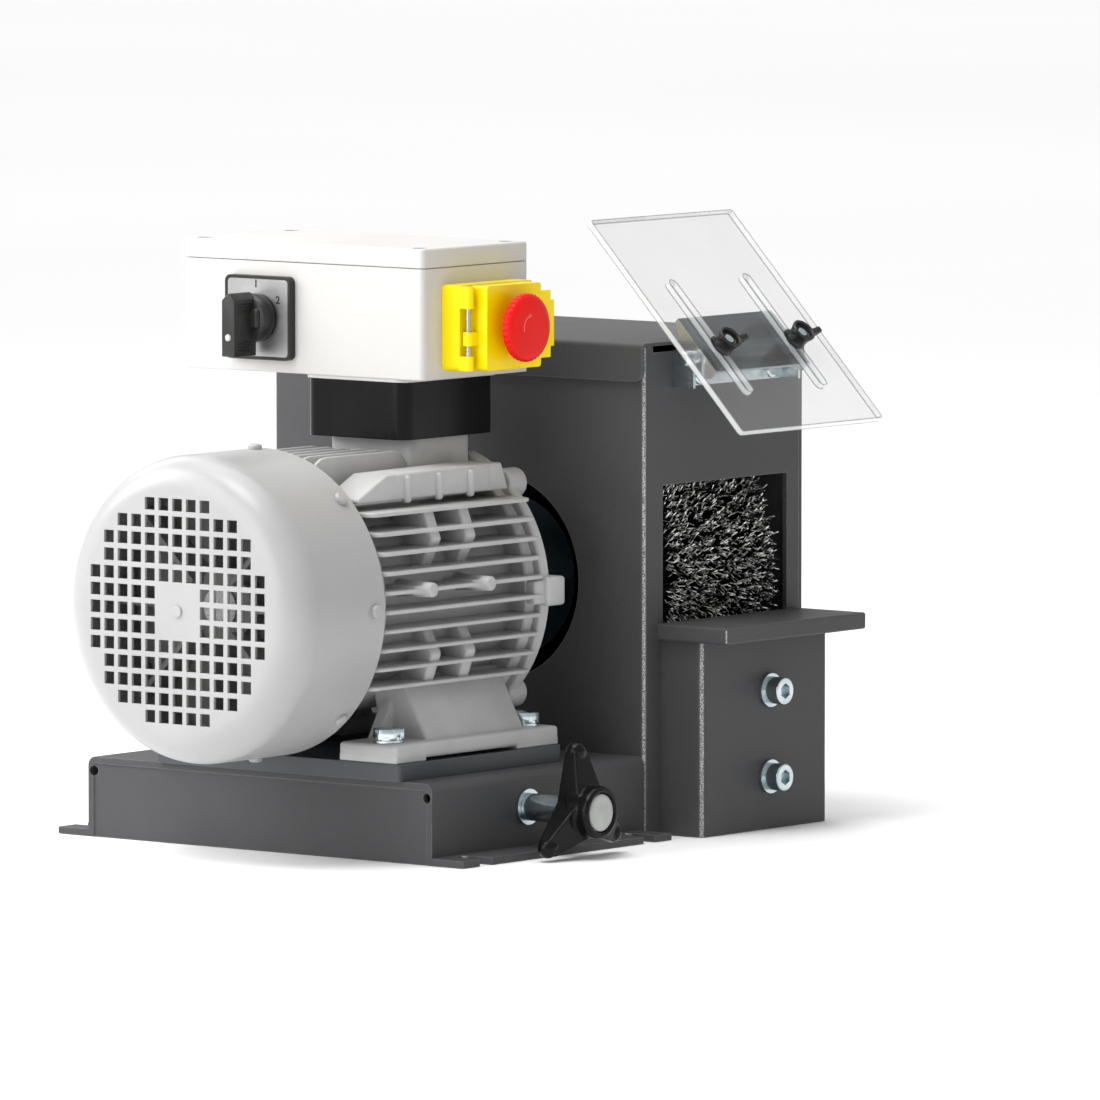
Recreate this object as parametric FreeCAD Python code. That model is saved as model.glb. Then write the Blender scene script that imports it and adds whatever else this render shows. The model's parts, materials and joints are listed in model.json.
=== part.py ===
import FreeCAD, Part
import math
import os

# Bench brush grinder: a foot-mounted finned motor on a feed carriage drives a wide
# wire brush inside a sheet-metal housing with a work rest and a tilting clear shield.
# Working frame in millimetres: X runs from the fan cover's front face to the brush,
# Y runs from the motor axis to the back, Z runs up from the bench.

V = FreeCAD.Vector
X_AXIS = V(1, 0, 0)
Y_AXIS = V(0, 1, 0)
Z_AXIS = V(0, 0, 1)

# ---- motor ----
AXIS_Z = 147.0              # motor axis above the bench, 90 mm above the slide plate
COVER_R = 89.0              # fan cover outer radius
COVER_LENGTH = 79.0
COVER_SHEET = 2.0
COVER_CORNER_R = 20.0
GRID_PITCH = 10.2           # square ventilation holes
GRID_HOLE = 7.2
GRID_REACH = 42             # holes lie within the square root of this many pitches
FRAME_X0 = 83.0             # cast motor frame with its fins
FRAME_X1 = 229.5
BARREL_R = 68.0
BORE_R = 60.0
SIDE_FIN_COUNT = 10
SIDE_FIN_PITCH = 11.1
SIDE_FIN_THICK = 2.6
SIDE_FIN_REACH = 88.0       # tip distance from the axis at mid height
SIDE_FIN_CROWN = 0.0042     # how fast the tips draw in above and below
SIDE_FIN_MID_Z = 150.5
TOP_FIN_COUNT = 6
TOP_FIN_PITCH = 12.0
TOP_FIN_TOP = 234.0
SHIELD_R = 84.0             # cast end shields
SHIELD_X1 = 247.0
SHIELD_HUB_R = 46.0
RIM_THICK = 8.0
SPIGOT_DEPTH = 8.0
SHIELD_BOSS_ANGLES = (0, 50, 130, 180, 230, 310)
SHIELD_BOSS_CIRCLE = 80.0
SHIELD_BOSS_R = 9.0
SHIELD_BOSS_LENGTH = 17.0
SHAFT_R = 12.0
SHAFT_X1 = 297.0
BEARING_R = 26.0
BEARING_WIDTH = 15.0
RUNNING = 0.05              # radial clearance of a running fit
FOOT_X0 = 93.0              # feet: 125 by 140 mm between the bolts
FOOT_LENGTH = 150.0
FOOT_BOLT_X = (105.5, 230.5)
FOOT_BOLT_Y = 70.0
FOOT_Y_IN = 43.0
FOOT_Y_OUT = 86.0
FOOT_THICK = 11.0

# ---- base and feed carriage ----
BASE_X0 = 96.5
BASE_X1 = 294.5
BASE_Y0 = -109.0
BASE_Y1 = 149.0
BASE_TOP = 47.0
BASE_SHEET = 4.0
LUG_OUT = 23.0              # bench flanges in front of and behind the base
LUG_X1 = 291.0
LUG_SLOT_X = (117.5, 270.0)
LUG_SLOT_WIDTH = 11.0
LUG_SLOT_DEPTH = 15.0
PLATE_X0 = 93.0             # slide plate
PLATE_Y0 = -88.0
PLATE_Y1 = 94.0
PLATE_THICK = 10.0
FEED_TRAVEL = 24.0          # carriage travel, twelve turns of the spindle
FEED_LEAD = 2.0
GUIDE_X = (116.0, 234.0)    # guide slots in the base top
GUIDE_WIDTH = 9.0
GUIDE_SCREW_Y = (-60.0, 55.0)
SPINDLE_X = 183.5
SPINDLE_Z = 27.0
SPINDLE_R = 6.0
KNOB_REACH = 41.0
KNOB_FRONT_Y = -166.0
KNOB_ARM_ANGLES = (94.0, 214.0, 334.0)

# ---- brush and housing ----
BRUSH_R = 110.0
BRUSH_X0 = 321.0
BRUSH_X1 = 423.0
BRUSH_CORE_R = 45.0
HOUSING_X0 = 294.5
HOUSING_X1 = 446.0
HOUSING_Y0 = -109.0
HOUSING_Y1 = 171.0
HOUSING_SHEET = 3.0
HOUSING_TOP = 286.6
PANEL_TOP = 283.2           # the front panel stops short of the lid
WALL_HOLE_R = 60.0
WINDOW_X0 = 312.0
WINDOW_X1 = 431.5
WINDOW_Z0 = 112.0
WINDOW_Z1 = 205.0
LID_TOP = 289.0
LID_SHEET = 2.0
LID_DROP = 22.5
LID_GAP = 0.2

# ---- work rest ----
REST_X0 = 306.7
REST_X1 = 442.0
REST_Y0 = -160.2
REST_Z0 = 114.3
REST_Z1 = 124.1
BRACKET_X0 = 310.7
BRACKET_X1 = 432.0
BRACKET_Y0 = -139.3
BRACKET_SHEET = 4.0
REST_BOLT_X = 374.5
REST_BOLT_Z = (31.0, 82.0)

# ---- terminal adapter and control box ----
ADAPTER_X = (160.0, 246.0)
ADAPTER_Y = (-37.5, 37.5)
ADAPTER_Z = (237.0, 270.5)
BOX_X = (159.0, 257.0)
BOX_Y = (-52.5, 127.5)
BOX_Z = (272.5, 348.5)
BOX_SEAM = 337.0
BOX_WALL = 3.5
SWITCH_Y = 67.6
SWITCH_Z = 304.3
SWITCH_SIZE = 49.0
SWITCH_FRAME = 5.0
ESTOP_X = 207.4
ESTOP_Z = 302.4
ESTOP_HALF = 24.9
ESTOP_X0 = 176.0
ESTOP_X1 = 244.0
ESTOP_BASE_Y = -66.0
FLAP_X0 = 184.0
FLAP_X1 = 234.0
FLAP_BACK_Y = -67.0
FLAP_FRONT_Y = -80.0
PIN_X = 179.0
PIN_Y = -70.0
PIN_R = 1.5
KNUCKLE_R = 3.2
BASE_KNUCKLES_Z = ((277.9, 286.4), (313.9, 326.9))
FLAP_KNUCKLE_Z = (292.4, 300.4)
MUSHROOM_R = 20.0
MUSHROOM_FRONT_Y = -94.5

# ---- shield ----
SHIELD_TOP_Y = -61.1        # upper outer edge of the clear panel
SHIELD_TOP_Z = 358.7
SHIELD_ANGLE = 46.4         # slope below the horizontal, falling towards the operator
SHIELD_LENGTH = 163.5
SHIELD_PANEL_X0 = 304.5
SHIELD_PANEL_X1 = 440.0
SHIELD_THICK = 4.0
SHIELD_SLOT_X = (338.2, 408.8)
SHIELD_SLOT_S = (48.8, 135.3)
SHIELD_SLOT_WIDTH = 6.6
CLAMP_S = 102.0             # the clamp bolts, measured down the slope
CLAMP_BOLT_R = 3.0
WING_HUB_R = 8.0
WING_HUB_HEIGHT = 10.0
WING_REACH = 17.0           # wing tip from the middle of the nut
WING_THICK = 3.8
WING_HEIGHT = 12.0
TILT_X0 = 325.5
TILT_X1 = 415.5
TILT_S = (74.5, 115.7)
TILT_SHEET = 2.0
TILT_FLANGE = 12.0
PIVOT_Y = -120.0
PIVOT_Z = 279.0
EAR_X = (320.5, 423.5)


# ---- small makers ----
def block(x0, x1, y0, y1, z0, z1):
    """A box between two corners."""
    return Part.makeBox(x1 - x0, y1 - y0, z1 - z0, V(x0, y0, z0))


def rod_x(x0, x1, y, z, r):
    return Part.makeCylinder(r, x1 - x0, V(x0, y, z), X_AXIS)


def rod_y(y0, y1, x, z, r):
    return Part.makeCylinder(r, y1 - y0, V(x, y0, z), Y_AXIS)


def rod_z(z0, z1, x, y, r):
    return Part.makeCylinder(r, z1 - z0, V(x, y, z0), Z_AXIS)


def fuse(first, *others):
    """Join touching or overlapping solids into one."""
    return first.fuse(list(others)).removeSplitter()


def group(solids):
    return Part.makeCompound(list(solids))


def prism(points, direction):
    """A straight prism on a closed outline of points."""
    outline = Part.makePolygon(list(points) + [points[0]])
    return Part.Face(outline).extrude(direction)


def hexagon(centre, axis, across_flats, height, start=V(0, 0, 1)):
    """A hexagonal prism standing on centre along axis."""
    side = axis.cross(start)
    radius = across_flats / math.sqrt(3)
    corners = []
    for k in range(6):
        angle = math.radians(60 * k)
        corners.append(centre + start * (radius * math.cos(angle)) + side * (radius * math.sin(angle)))
    return prism(corners, axis * height)


def straight_edges(shape, direction):
    """The straight edges of a shape that run along a direction."""
    chosen = []
    for edge in shape.Edges:
        if edge.Curve.TypeId != "Part::GeomLine":
            continue
        if abs(abs(edge.tangentAt(edge.FirstParameter).dot(direction)) - 1) < 1e-6:
            chosen.append(edge)
    return chosen


def round_along(shape, direction, radius, keep=None):
    """Round the edges along a direction, all of them or those that keep() accepts."""
    edges = straight_edges(shape, direction)
    if keep:
        edges = [edge for edge in edges if keep(edge.CenterOfMass)]
    return shape.makeFillet(radius, edges)


def round_face_rim(shape, radius, on_face):
    """Round the rim of the flat faces that on_face() accepts."""
    edges = []
    for face in shape.Faces:
        if on_face(face):
            edges += face.OuterWire.Edges
    return shape.makeFillet(radius, edges)


def slope_point(x, along, off=0.0):
    """A point on the clear panel: along runs down the slope, off stands out of it."""
    angle = math.radians(SHIELD_ANGLE)
    y = SHIELD_TOP_Y - along * math.cos(angle) - off * math.sin(angle)
    z = SHIELD_TOP_Z - along * math.sin(angle) + off * math.cos(angle)
    return V(x, y, z)


def slope_direction():
    return slope_point(0, 1) - slope_point(0, 0)


def slope_normal():
    return slope_point(0, 0, 1) - slope_point(0, 0)


def slope_block(x0, x1, s0, s1, off0, off1):
    """A box laid in the slope of the clear panel."""
    corners = [slope_point(x0, s0, off0), slope_point(x0, s1, off0),
               slope_point(x0, s1, off1), slope_point(x0, s0, off1)]
    return prism(corners, X_AXIS * (x1 - x0))


def slope_rod(x, along, off0, off1, r):
    return Part.makeCylinder(r, off1 - off0, slope_point(x, along, off0), slope_normal())


def pan_head(base, direction, radius, height):
    """A rounded screw head standing on base."""
    head = Part.makeCylinder(radius, height, base, direction)
    rim = [edge for edge in head.Edges
           if (edge.CenterOfMass - base).dot(direction) > height * 0.9]
    return head.makeFillet(height * 0.55, rim)


def bolt_with_washer(seat, direction, thread_r, length, head_af, head_height, washer_r, washer_thick):
    """A hexagon bolt on a flat washer: its thread runs back into the seat."""
    head_foot = seat + direction * washer_thick
    head = hexagon(head_foot, direction, head_af, head_height, start=X_AXIS)
    thread = Part.makeCylinder(thread_r, length, head_foot - direction * length, direction)
    washer = Part.makeCylinder(washer_r, washer_thick, seat, direction)
    washer = washer.cut(Part.makeCylinder(thread_r + 0.3, washer_thick, seat, direction))
    return [fuse(head, thread), washer]


# ---- base ----
def lug_plate(y0, y1, mouth_y):
    """One bench flange with two open slots for hold-down bolts."""
    plate = block(BASE_X0, LUG_X1, y0, y1, 0, BASE_SHEET)
    inward = 1 if mouth_y < 0 else -1
    for x in LUG_SLOT_X:
        end_y = mouth_y + inward * LUG_SLOT_DEPTH
        half = LUG_SLOT_WIDTH / 2
        low, high = sorted((mouth_y - inward, end_y))
        plate = plate.cut(block(x - half, x + half, low, high, 0, BASE_SHEET))
        plate = plate.cut(rod_z(0, BASE_SHEET, x, end_y, half))
    return plate


def base_frame():
    """Folded sheet box: top, front and rear walls with bench flanges, and a closed left end."""
    bend = BASE_SHEET + 1.5
    shell = block(BASE_X0, BASE_X1, BASE_Y0, BASE_Y1, 0, BASE_TOP)
    shell = round_along(shell, X_AXIS, bend, lambda c: c.z > BASE_TOP - 1)
    core = block(BASE_X0, BASE_X1, BASE_Y0 + BASE_SHEET, BASE_Y1 - BASE_SHEET, 0, BASE_TOP - BASE_SHEET)
    core = round_along(core, X_AXIS, bend - BASE_SHEET, lambda c: c.z > BASE_SHEET)
    shell = shell.cut(core)
    inset = 0.8
    left_end = block(BASE_X0 + inset, BASE_X0 + inset + BASE_SHEET,
                     BASE_Y0 + BASE_SHEET, BASE_Y1 - BASE_SHEET, 0, BASE_TOP - BASE_SHEET)
    front = lug_plate(BASE_Y0 - LUG_OUT, BASE_Y0 + BASE_SHEET, BASE_Y0 - LUG_OUT)
    rear = lug_plate(BASE_Y1 - BASE_SHEET, BASE_Y1 + LUG_OUT, BASE_Y1 + LUG_OUT)
    shell = fuse(shell, left_end, front, rear)
    relief_r = 3.0
    relief_z = BASE_TOP - 8.5
    for y in (BASE_Y0 + BASE_SHEET, BASE_Y1 - BASE_SHEET):
        shell = shell.cut(rod_x(BASE_X0 - 1, BASE_X0 + 2 * BASE_SHEET, y, relief_z, relief_r))
    for x in GUIDE_X:
        half = GUIDE_WIDTH / 2
        y0 = GUIDE_SCREW_Y[0] - 7
        y1 = GUIDE_SCREW_Y[1] + FEED_TRAVEL + 7
        shell = shell.cut(block(x - half, x + half, y0, y1, BASE_TOP - BASE_SHEET - 1, BASE_TOP + 1))
    nut_slot_half = 13.0
    shell = shell.cut(block(SPINDLE_X - nut_slot_half, SPINDLE_X + nut_slot_half, -30, 40,
                            BASE_TOP - BASE_SHEET - 1, BASE_TOP + 1))
    return shell.cut(rod_y(BASE_Y0 - 1, BASE_Y0 + BASE_SHEET + 1, SPINDLE_X, SPINDLE_Z, 9.0))


def spindle_bush():
    """Flanged bush in the front wall that carries the feed spindle."""
    flange = rod_y(BASE_Y0 - 2.5, BASE_Y0, SPINDLE_X, SPINDLE_Z, 10.5)
    barrel = rod_y(BASE_Y0, BASE_Y0 + 10, SPINDLE_X, SPINDLE_Z, 9.0)
    bore = rod_y(BASE_Y0 - 3, BASE_Y0 + 11, SPINDLE_X, SPINDLE_Z, SPINDLE_R + RUNNING)
    return fuse(flange, barrel).cut(bore)


# ---- feed spindle and knob ----
def feed_spindle():
    return fuse(rod_y(KNOB_FRONT_Y + 14, 62, SPINDLE_X, SPINDLE_Z, SPINDLE_R),
                rod_y(BASE_Y0 + 10.2, BASE_Y0 + 16, SPINDLE_X, SPINDLE_Z, 9.0))


def spindle_spacer():
    tube = rod_y(-140, BASE_Y0 - 2.7, SPINDLE_X, SPINDLE_Z, 8.0)
    return tube.cut(rod_y(-141, BASE_Y0, SPINDLE_X, SPINDLE_Z, SPINDLE_R))


def star_knob():
    """Three-armed star grip: tapering arms on a round hub."""
    tip_r = 7.5
    back_y = -156.0
    depth = 15.0
    hub = rod_y(KNOB_FRONT_Y + 1.0, -140, SPINDLE_X, SPINDLE_Z, 13.0)
    knob = hub
    for degrees in KNOB_ARM_ANGLES:
        angle = math.radians(degrees)
        reach = V(math.cos(angle), 0, math.sin(angle))
        side = V(-math.sin(angle), 0, math.cos(angle))
        centre = V(SPINDLE_X, back_y, SPINDLE_Z)
        tip = centre + reach * (KNOB_REACH - tip_r)
        corners = [centre + side * 12, centre - side * 12, tip - side * tip_r, tip + side * tip_r]
        arm = prism(corners, Y_AXIS * depth)
        pad = Part.makeCylinder(tip_r, depth, tip, Y_AXIS)
        knob = knob.fuse([arm, pad])
    knob = knob.removeSplitter()
    knob = knob.cut(rod_y(KNOB_FRONT_Y + 14, -139, SPINDLE_X, SPINDLE_Z, SPINDLE_R))
    return knob.cut(rod_y(KNOB_FRONT_Y, KNOB_FRONT_Y + 3, SPINDLE_X, SPINDLE_Z, 11.3))


def knob_cap():
    """Round cover disc in the middle of the knob."""
    cap = rod_y(KNOB_FRONT_Y, KNOB_FRONT_Y + 3, SPINDLE_X, SPINDLE_Z, 11.3)
    rim = [edge for edge in cap.Edges if edge.CenterOfMass.y < KNOB_FRONT_Y + 0.5]
    return cap.makeFillet(1.2, rim)


# ---- slide plate and its fixings ----
def slide_plate():
    plate = block(PLATE_X0, PLATE_X0 + FOOT_LENGTH, PLATE_Y0, PLATE_Y1, BASE_TOP, BASE_TOP + PLATE_THICK)
    plate = round_along(plate, Z_AXIS, 2.0)
    for x in FOOT_BOLT_X:
        for y in (-FOOT_BOLT_Y, FOOT_BOLT_Y):
            plate = plate.cut(rod_z(BASE_TOP, BASE_TOP + PLATE_THICK, x, y, 5.0))
    for x in GUIDE_X:
        for y in GUIDE_SCREW_Y:
            plate = plate.cut(rod_z(BASE_TOP, BASE_TOP + 8, x, y, 3.0))
    return plate


def hold_down_strips():
    """Strips below the base top that keep the carriage down on its slide."""
    strips = []
    for x in GUIDE_X:
        z1 = BASE_TOP - BASE_SHEET - 0.3
        strip = block(x - 10, x + 10, GUIDE_SCREW_Y[0] - 12, GUIDE_SCREW_Y[1] + 12, z1 - 6, z1)
        for y in GUIDE_SCREW_Y:
            strip = strip.cut(rod_z(z1 - 6, z1, x, y, 3.0))
        strips.append(strip)
    return group(strips)


def hold_down_screws():
    """Cap screws that go up through the strips and the guide slots into the plate."""
    screws = []
    head_top = BASE_TOP - BASE_SHEET - 6.3
    for x in GUIDE_X:
        for y in GUIDE_SCREW_Y:
            screws.append(fuse(rod_z(head_top - 6, head_top, x, y, 5.0),
                               rod_z(head_top, BASE_TOP + 8, x, y, 3.0)))
    return group(screws)


def spindle_nut():
    """Threaded block under the slide plate that the feed spindle drives."""
    body = block(SPINDLE_X - 12, SPINDLE_X + 12, -15, 10, SPINDLE_Z - 12, BASE_TOP)
    return body.cut(rod_y(-16, 11, SPINDLE_X, SPINDLE_Z, SPINDLE_R + RUNNING))


# ---- motor ----
def fin_tip(dz):
    """How far the side fins reach from the axis at a height above mid height."""
    return SIDE_FIN_REACH - SIDE_FIN_CROWN * dz * dz


def motor_frame():
    """Cast frame: barrel, side and top fins, terminal pedestal, bosses and feet in one piece."""
    barrel = rod_x(FRAME_X0, FRAME_X1, 0, AXIS_Z, BARREL_R)
    parts = []
    for k in range(SIDE_FIN_COUNT):
        dz = SIDE_FIN_PITCH * (k - (SIDE_FIN_COUNT - 1) / 2)
        z = SIDE_FIN_MID_Z + dz
        reach = fin_tip(dz)
        half = SIDE_FIN_THICK / 2
        fin = block(FRAME_X0, FRAME_X1, -reach, reach, z - half, z + half)
        parts.append(fin)
    for k in range(TOP_FIN_COUNT):
        y = TOP_FIN_PITCH * (k - (TOP_FIN_COUNT - 1) / 2)
        half = SIDE_FIN_THICK / 2
        parts.append(block(FRAME_X0, ADAPTER_X[0] + 10, y - half, y + half, AXIS_Z, TOP_FIN_TOP))
    for sign in (-1, 1):
        y0, y1 = sorted((sign * 40, sign * 66))
        shoulder = prism([V(FRAME_X0, y0, 207), V(FRAME_X1 - 8, y0, 207), V(FRAME_X1 - 24, y0, 222),
                          V(FRAME_X0, y0, 222)], Y_AXIS * (y1 - y0))
        parts.append(shoulder)
        for x in (118.0, 150.0, 182.0):
            parts.append(rod_z(205, 225, x, sign * 62, 4.5))
        for x in (137.0, 169.0):
            tip0, tip1 = sorted((sign * 50, sign * 84))
            parts.append(block(x - 4, x + 4, tip0, tip1, 165, 196))
            parts.append(block(x - 4, x + 4, tip0, tip1, 104, 134))
        for x in (118.7, 172.1):
            low, high = sorted((sign * 60, sign * 92))
            parts.append(rod_y(low, high, x, 156.3, 4.6))
        parts += foot_solids(sign)
    pedestal = round_along(block(176, 241, -33, 33, AXIS_Z + 40, ADAPTER_Z[0]), Z_AXIS, 7.0)
    parts.append(pedestal.cut(rod_x(FRAME_X1, 242, 0, AXIS_Z, SHIELD_R + 0.5)))
    parts.append(rod_x(FRAME_X1 - 9, FRAME_X1, 0, AXIS_Z, SHIELD_R - 4))
    parts.append(rod_x(FRAME_X0, FRAME_X0 + 9, 0, AXIS_Z, SHIELD_R - 4))
    body = fuse(barrel, *parts)
    body = body.cut(rod_x(FRAME_X0 - 1, FRAME_X1 + 1, 0, AXIS_Z, BORE_R))
    lead_hole = block(185, 225, -15, 15, AXIS_Z, ADAPTER_Z[0] + 1)
    body = body.cut(lead_hole)
    for x in FOOT_BOLT_X:
        for y in (-FOOT_BOLT_Y, FOOT_BOLT_Y):
            body = body.cut(rod_z(BASE_TOP + PLATE_THICK, BASE_TOP + PLATE_THICK + FOOT_THICK, x, y, 5.0))
    return body


def foot_solids(sign):
    """One cast foot: a pad with bolt holes and a sloping pedestal up to the barrel."""
    foot_z = BASE_TOP + PLATE_THICK
    y0, y1 = sorted((sign * FOOT_Y_IN, sign * FOOT_Y_OUT))
    pad = block(FOOT_X0, FOOT_X0 + FOOT_LENGTH, y0, y1, foot_z, foot_z + FOOT_THICK)
    pad = round_along(pad, Z_AXIS, 6.0)
    recess = block(FOOT_X0 + 40, FOOT_X0 + 112, y0 - 1, y1 + 1, foot_z, foot_z + 1.5)
    pad = pad.cut(recess)
    x0 = 130.0
    x1 = 220.5
    web = prism([V(x0, sign * 81, foot_z + FOOT_THICK - 1), V(x0, sign * 44, foot_z + FOOT_THICK - 1),
                 V(x0, sign * 36, 104), V(x0, sign * 60, 104)], X_AXIS * (x1 - x0))
    skirt_y = sign * 44
    skirt_foot = foot_z + FOOT_THICK - 1
    skirt = prism([V(x0 - 14, skirt_y, skirt_foot), V(x1 + 14, skirt_y, skirt_foot),
                   V(x1 - 8, skirt_y, 100), V(x0 + 6, skirt_y, 100)], Y_AXIS * (sign * 8))
    return [pad, web, skirt]


def motor_foot_bolts():
    solids = []
    seat_z = BASE_TOP + PLATE_THICK + FOOT_THICK
    for x in FOOT_BOLT_X:
        for y in (-FOOT_BOLT_Y, FOOT_BOLT_Y):
            solids += bolt_with_washer(V(x, y, seat_z), Z_AXIS, 5.0, 22.0, 16.0, 6.4, 9.0, 2.0)
    return group(solids)


def disc_between(xa, xb, r):
    """A round disc on the motor axis between two X places, given in either order."""
    return rod_x(min(xa, xb), max(xa, xb), 0, AXIS_Z, r)


def end_shield(x_face, x_rim, out):
    """A coned end shield: rim, spigot into the frame, and a seat for the bearing. out is 1 or -1."""
    x_spigot = x_rim - out * SPIGOT_DEPTH
    x_cone = x_rim + out * RIM_THICK
    rim = disc_between(x_rim, x_cone, SHIELD_R)
    cone = Part.makeCone(SHIELD_R - 2, SHIELD_HUB_R, abs(x_face - x_cone), V(x_cone, 0, AXIS_Z), X_AXIS * out)
    spigot = disc_between(x_spigot, x_rim, BORE_R)
    shield = fuse(rim, cone, spigot)
    shield = shield.cut(disc_between(x_spigot - out, x_rim + out * RIM_THICK / 2, BORE_R - 5))
    seat = disc_between(x_rim - out * 6, x_rim + out * 5, BEARING_R + 6)
    return fuse(shield, seat).cut(disc_between(x_spigot - out, x_face + out, SHAFT_R + 1))


def drive_end_shield():
    """Drive end shield with six bolt bosses."""
    shield = end_shield(SHIELD_X1, FRAME_X1, 1)
    for degrees in SHIELD_BOSS_ANGLES:
        angle = math.radians(degrees)
        y = SHIELD_BOSS_CIRCLE * math.cos(angle)
        z = AXIS_Z + SHIELD_BOSS_CIRCLE * math.sin(angle)
        shield = shield.fuse(rod_x(FRAME_X1, FRAME_X1 + SHIELD_BOSS_LENGTH, y, z, SHIELD_BOSS_R))
    shield = shield.removeSplitter()
    bearing = rod_x(FRAME_X1 - 6, FRAME_X1 - 6 + BEARING_WIDTH, 0, AXIS_Z, BEARING_R)
    return shield.cut(bearing)


def fan_end_shield():
    """Fan end shield, hidden by the fan cover."""
    shield = end_shield(FRAME_X0 - 14, FRAME_X0, -1)
    bearing = rod_x(FRAME_X0 + 6 - BEARING_WIDTH, FRAME_X0 + 6, 0, AXIS_Z, BEARING_R)
    return shield.cut(bearing)


def bearing_ring(x0):
    ring = rod_x(x0, x0 + BEARING_WIDTH, 0, AXIS_Z, BEARING_R)
    return ring.cut(rod_x(x0 - 1, x0 + BEARING_WIDTH + 1, 0, AXIS_Z, SHAFT_R + RUNNING))


def stator_core():
    core = rod_x(112, 200, 0, AXIS_Z, BORE_R)
    return core.cut(rod_x(111, 201, 0, AXIS_Z, 40.5))


def stator_windings():
    """The two wound coil heads that stand out of the stator core."""
    heads = []
    for x0, x1 in ((97, 112), (200, 215)):
        ring = rod_x(x0, x1, 0, AXIS_Z, 56.0).cut(rod_x(x0 - 1, x1 + 1, 0, AXIS_Z, 43.0))
        heads.append(ring)
    return group(heads)


def rotor_core():
    core = rod_x(112, 200, 0, AXIS_Z, 40.0)
    return core.cut(rod_x(111, 201, 0, AXIS_Z, SHAFT_R))


def motor_shaft():
    shaft = rod_x(38, SHAFT_X1, 0, AXIS_Z, SHAFT_R)
    keyway = block(258, 290, -4, 4, AXIS_Z + 8, AXIS_Z + 13)
    return shaft.cut(keyway)


def shaft_key():
    return block(258, 290, -4, 4, AXIS_Z + 8, AXIS_Z + 14.5)


def cooling_fan():
    """Straight-bladed fan behind the grid."""
    disc = rod_x(52, 55, 0, AXIS_Z, 74.0)
    hub = rod_x(40, 55, 0, AXIS_Z, 22.0)
    blades = []
    count = 8
    for k in range(count):
        blade = block(30, 53, -1.5, 1.5, AXIS_Z + 20, AXIS_Z + 76)
        blade.rotate(V(0, 0, AXIS_Z), X_AXIS, 360 * k / count)
        blades.append(blade)
    fan = fuse(disc, hub, *blades)
    return fan.cut(rod_x(29, 56, 0, AXIS_Z, SHAFT_R))


def fan_cover():
    """Pressed cover: a drum with a rolled front edge and a field of square holes."""
    inner_r = COVER_R - COVER_SHEET
    outer = rod_x(0, COVER_LENGTH, 0, AXIS_Z, COVER_R)
    outer = outer.makeFillet(COVER_CORNER_R, [e for e in outer.Edges if e.CenterOfMass.x < 1])
    inner = rod_x(COVER_SHEET, COVER_LENGTH + 1, 0, AXIS_Z, inner_r)
    inner = inner.makeFillet(COVER_CORNER_R - COVER_SHEET,
                             [e for e in inner.Edges if e.CenterOfMass.x < COVER_SHEET + 1])
    cover = outer.cut(inner)
    holes = []
    half = GRID_HOLE / 2
    reach = 6
    for i in range(-reach, reach + 1):
        for j in range(-reach, reach + 1):
            in_middle = abs(i) <= 1 and abs(j) <= 1
            if in_middle or i * i + j * j > GRID_REACH:
                continue
            y = i * GRID_PITCH
            z = AXIS_Z + j * GRID_PITCH
            holes.append(block(-1, 8, y - half, y + half, z - half, z + half))
    return cover.cut(group(holes))


def fan_cover_screws():
    """Eight screws round the rear rim and a flat one in the middle of the grid."""
    screws = [pan_head(V(0, 0, AXIS_Z), V(-1, 0, 0), 3.5, 1.2)]
    for k in range(8):
        angle = math.radians(45 * k)
        out = V(0, math.cos(angle), math.sin(angle))
        foot = V(70, 0, AXIS_Z) + out * COVER_R
        screws.append(pan_head(foot, out, 4.0, 3.0))
    return group(screws)


# ---- terminal adapter and control box ----
def terminal_adapter():
    body = block(*ADAPTER_X, *ADAPTER_Y, *ADAPTER_Z)
    body = round_along(body, Z_AXIS, 9.0)
    core = block(ADAPTER_X[0] + 4, ADAPTER_X[1] - 4, ADAPTER_Y[0] + 4, ADAPTER_Y[1] - 4,
                 ADAPTER_Z[0] - 1, ADAPTER_Z[1] + 1)
    return body.cut(round_along(core, Z_AXIS, 5.0))


def control_box_body():
    """Tray of the control box with a shallow foot where it sits on the adapter."""
    tray = block(*BOX_X, *BOX_Y, BOX_Z[0], BOX_SEAM)
    tray = round_along(tray, Z_AXIS, 3.0)
    inner = block(BOX_X[0] + BOX_WALL, BOX_X[1] - BOX_WALL, BOX_Y[0] + BOX_WALL, BOX_Y[1] - BOX_WALL,
                  BOX_Z[0] + BOX_WALL, BOX_SEAM + 1)
    step = block(BOX_X[0] + 0.6, ADAPTER_X[1] + 2, ADAPTER_Y[0] - 1, ADAPTER_Y[1] + 1,
                 ADAPTER_Z[1], BOX_Z[0])
    tray = fuse(tray.cut(inner), round_along(step, Z_AXIS, 8.0))
    tray = tray.cut(rod_z(ADAPTER_Z[1] - 1, BOX_Z[0] + BOX_WALL + 1, 203, 0, 22.0))
    tray = tray.cut(rod_x(BOX_X[0] - 1, BOX_X[0] + BOX_WALL + 1, SWITCH_Y, SWITCH_Z, 18.0))
    tray = tray.cut(rod_y(BOX_Y[0] - 1, BOX_Y[0] + BOX_WALL + 1, ESTOP_X, ESTOP_Z, 18.0))
    return tray.cut(rod_y(BOX_Y[1] - BOX_WALL - 1, BOX_Y[1] + 1, 230, 300, 8.0))


def box_corner_posts():
    posts = []
    for x in (BOX_X[0] + 9, BOX_X[1] - 9):
        for y in (BOX_Y[0] + 9, BOX_Y[1] - 9):
            posts.append((x, y))
    return posts


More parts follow.
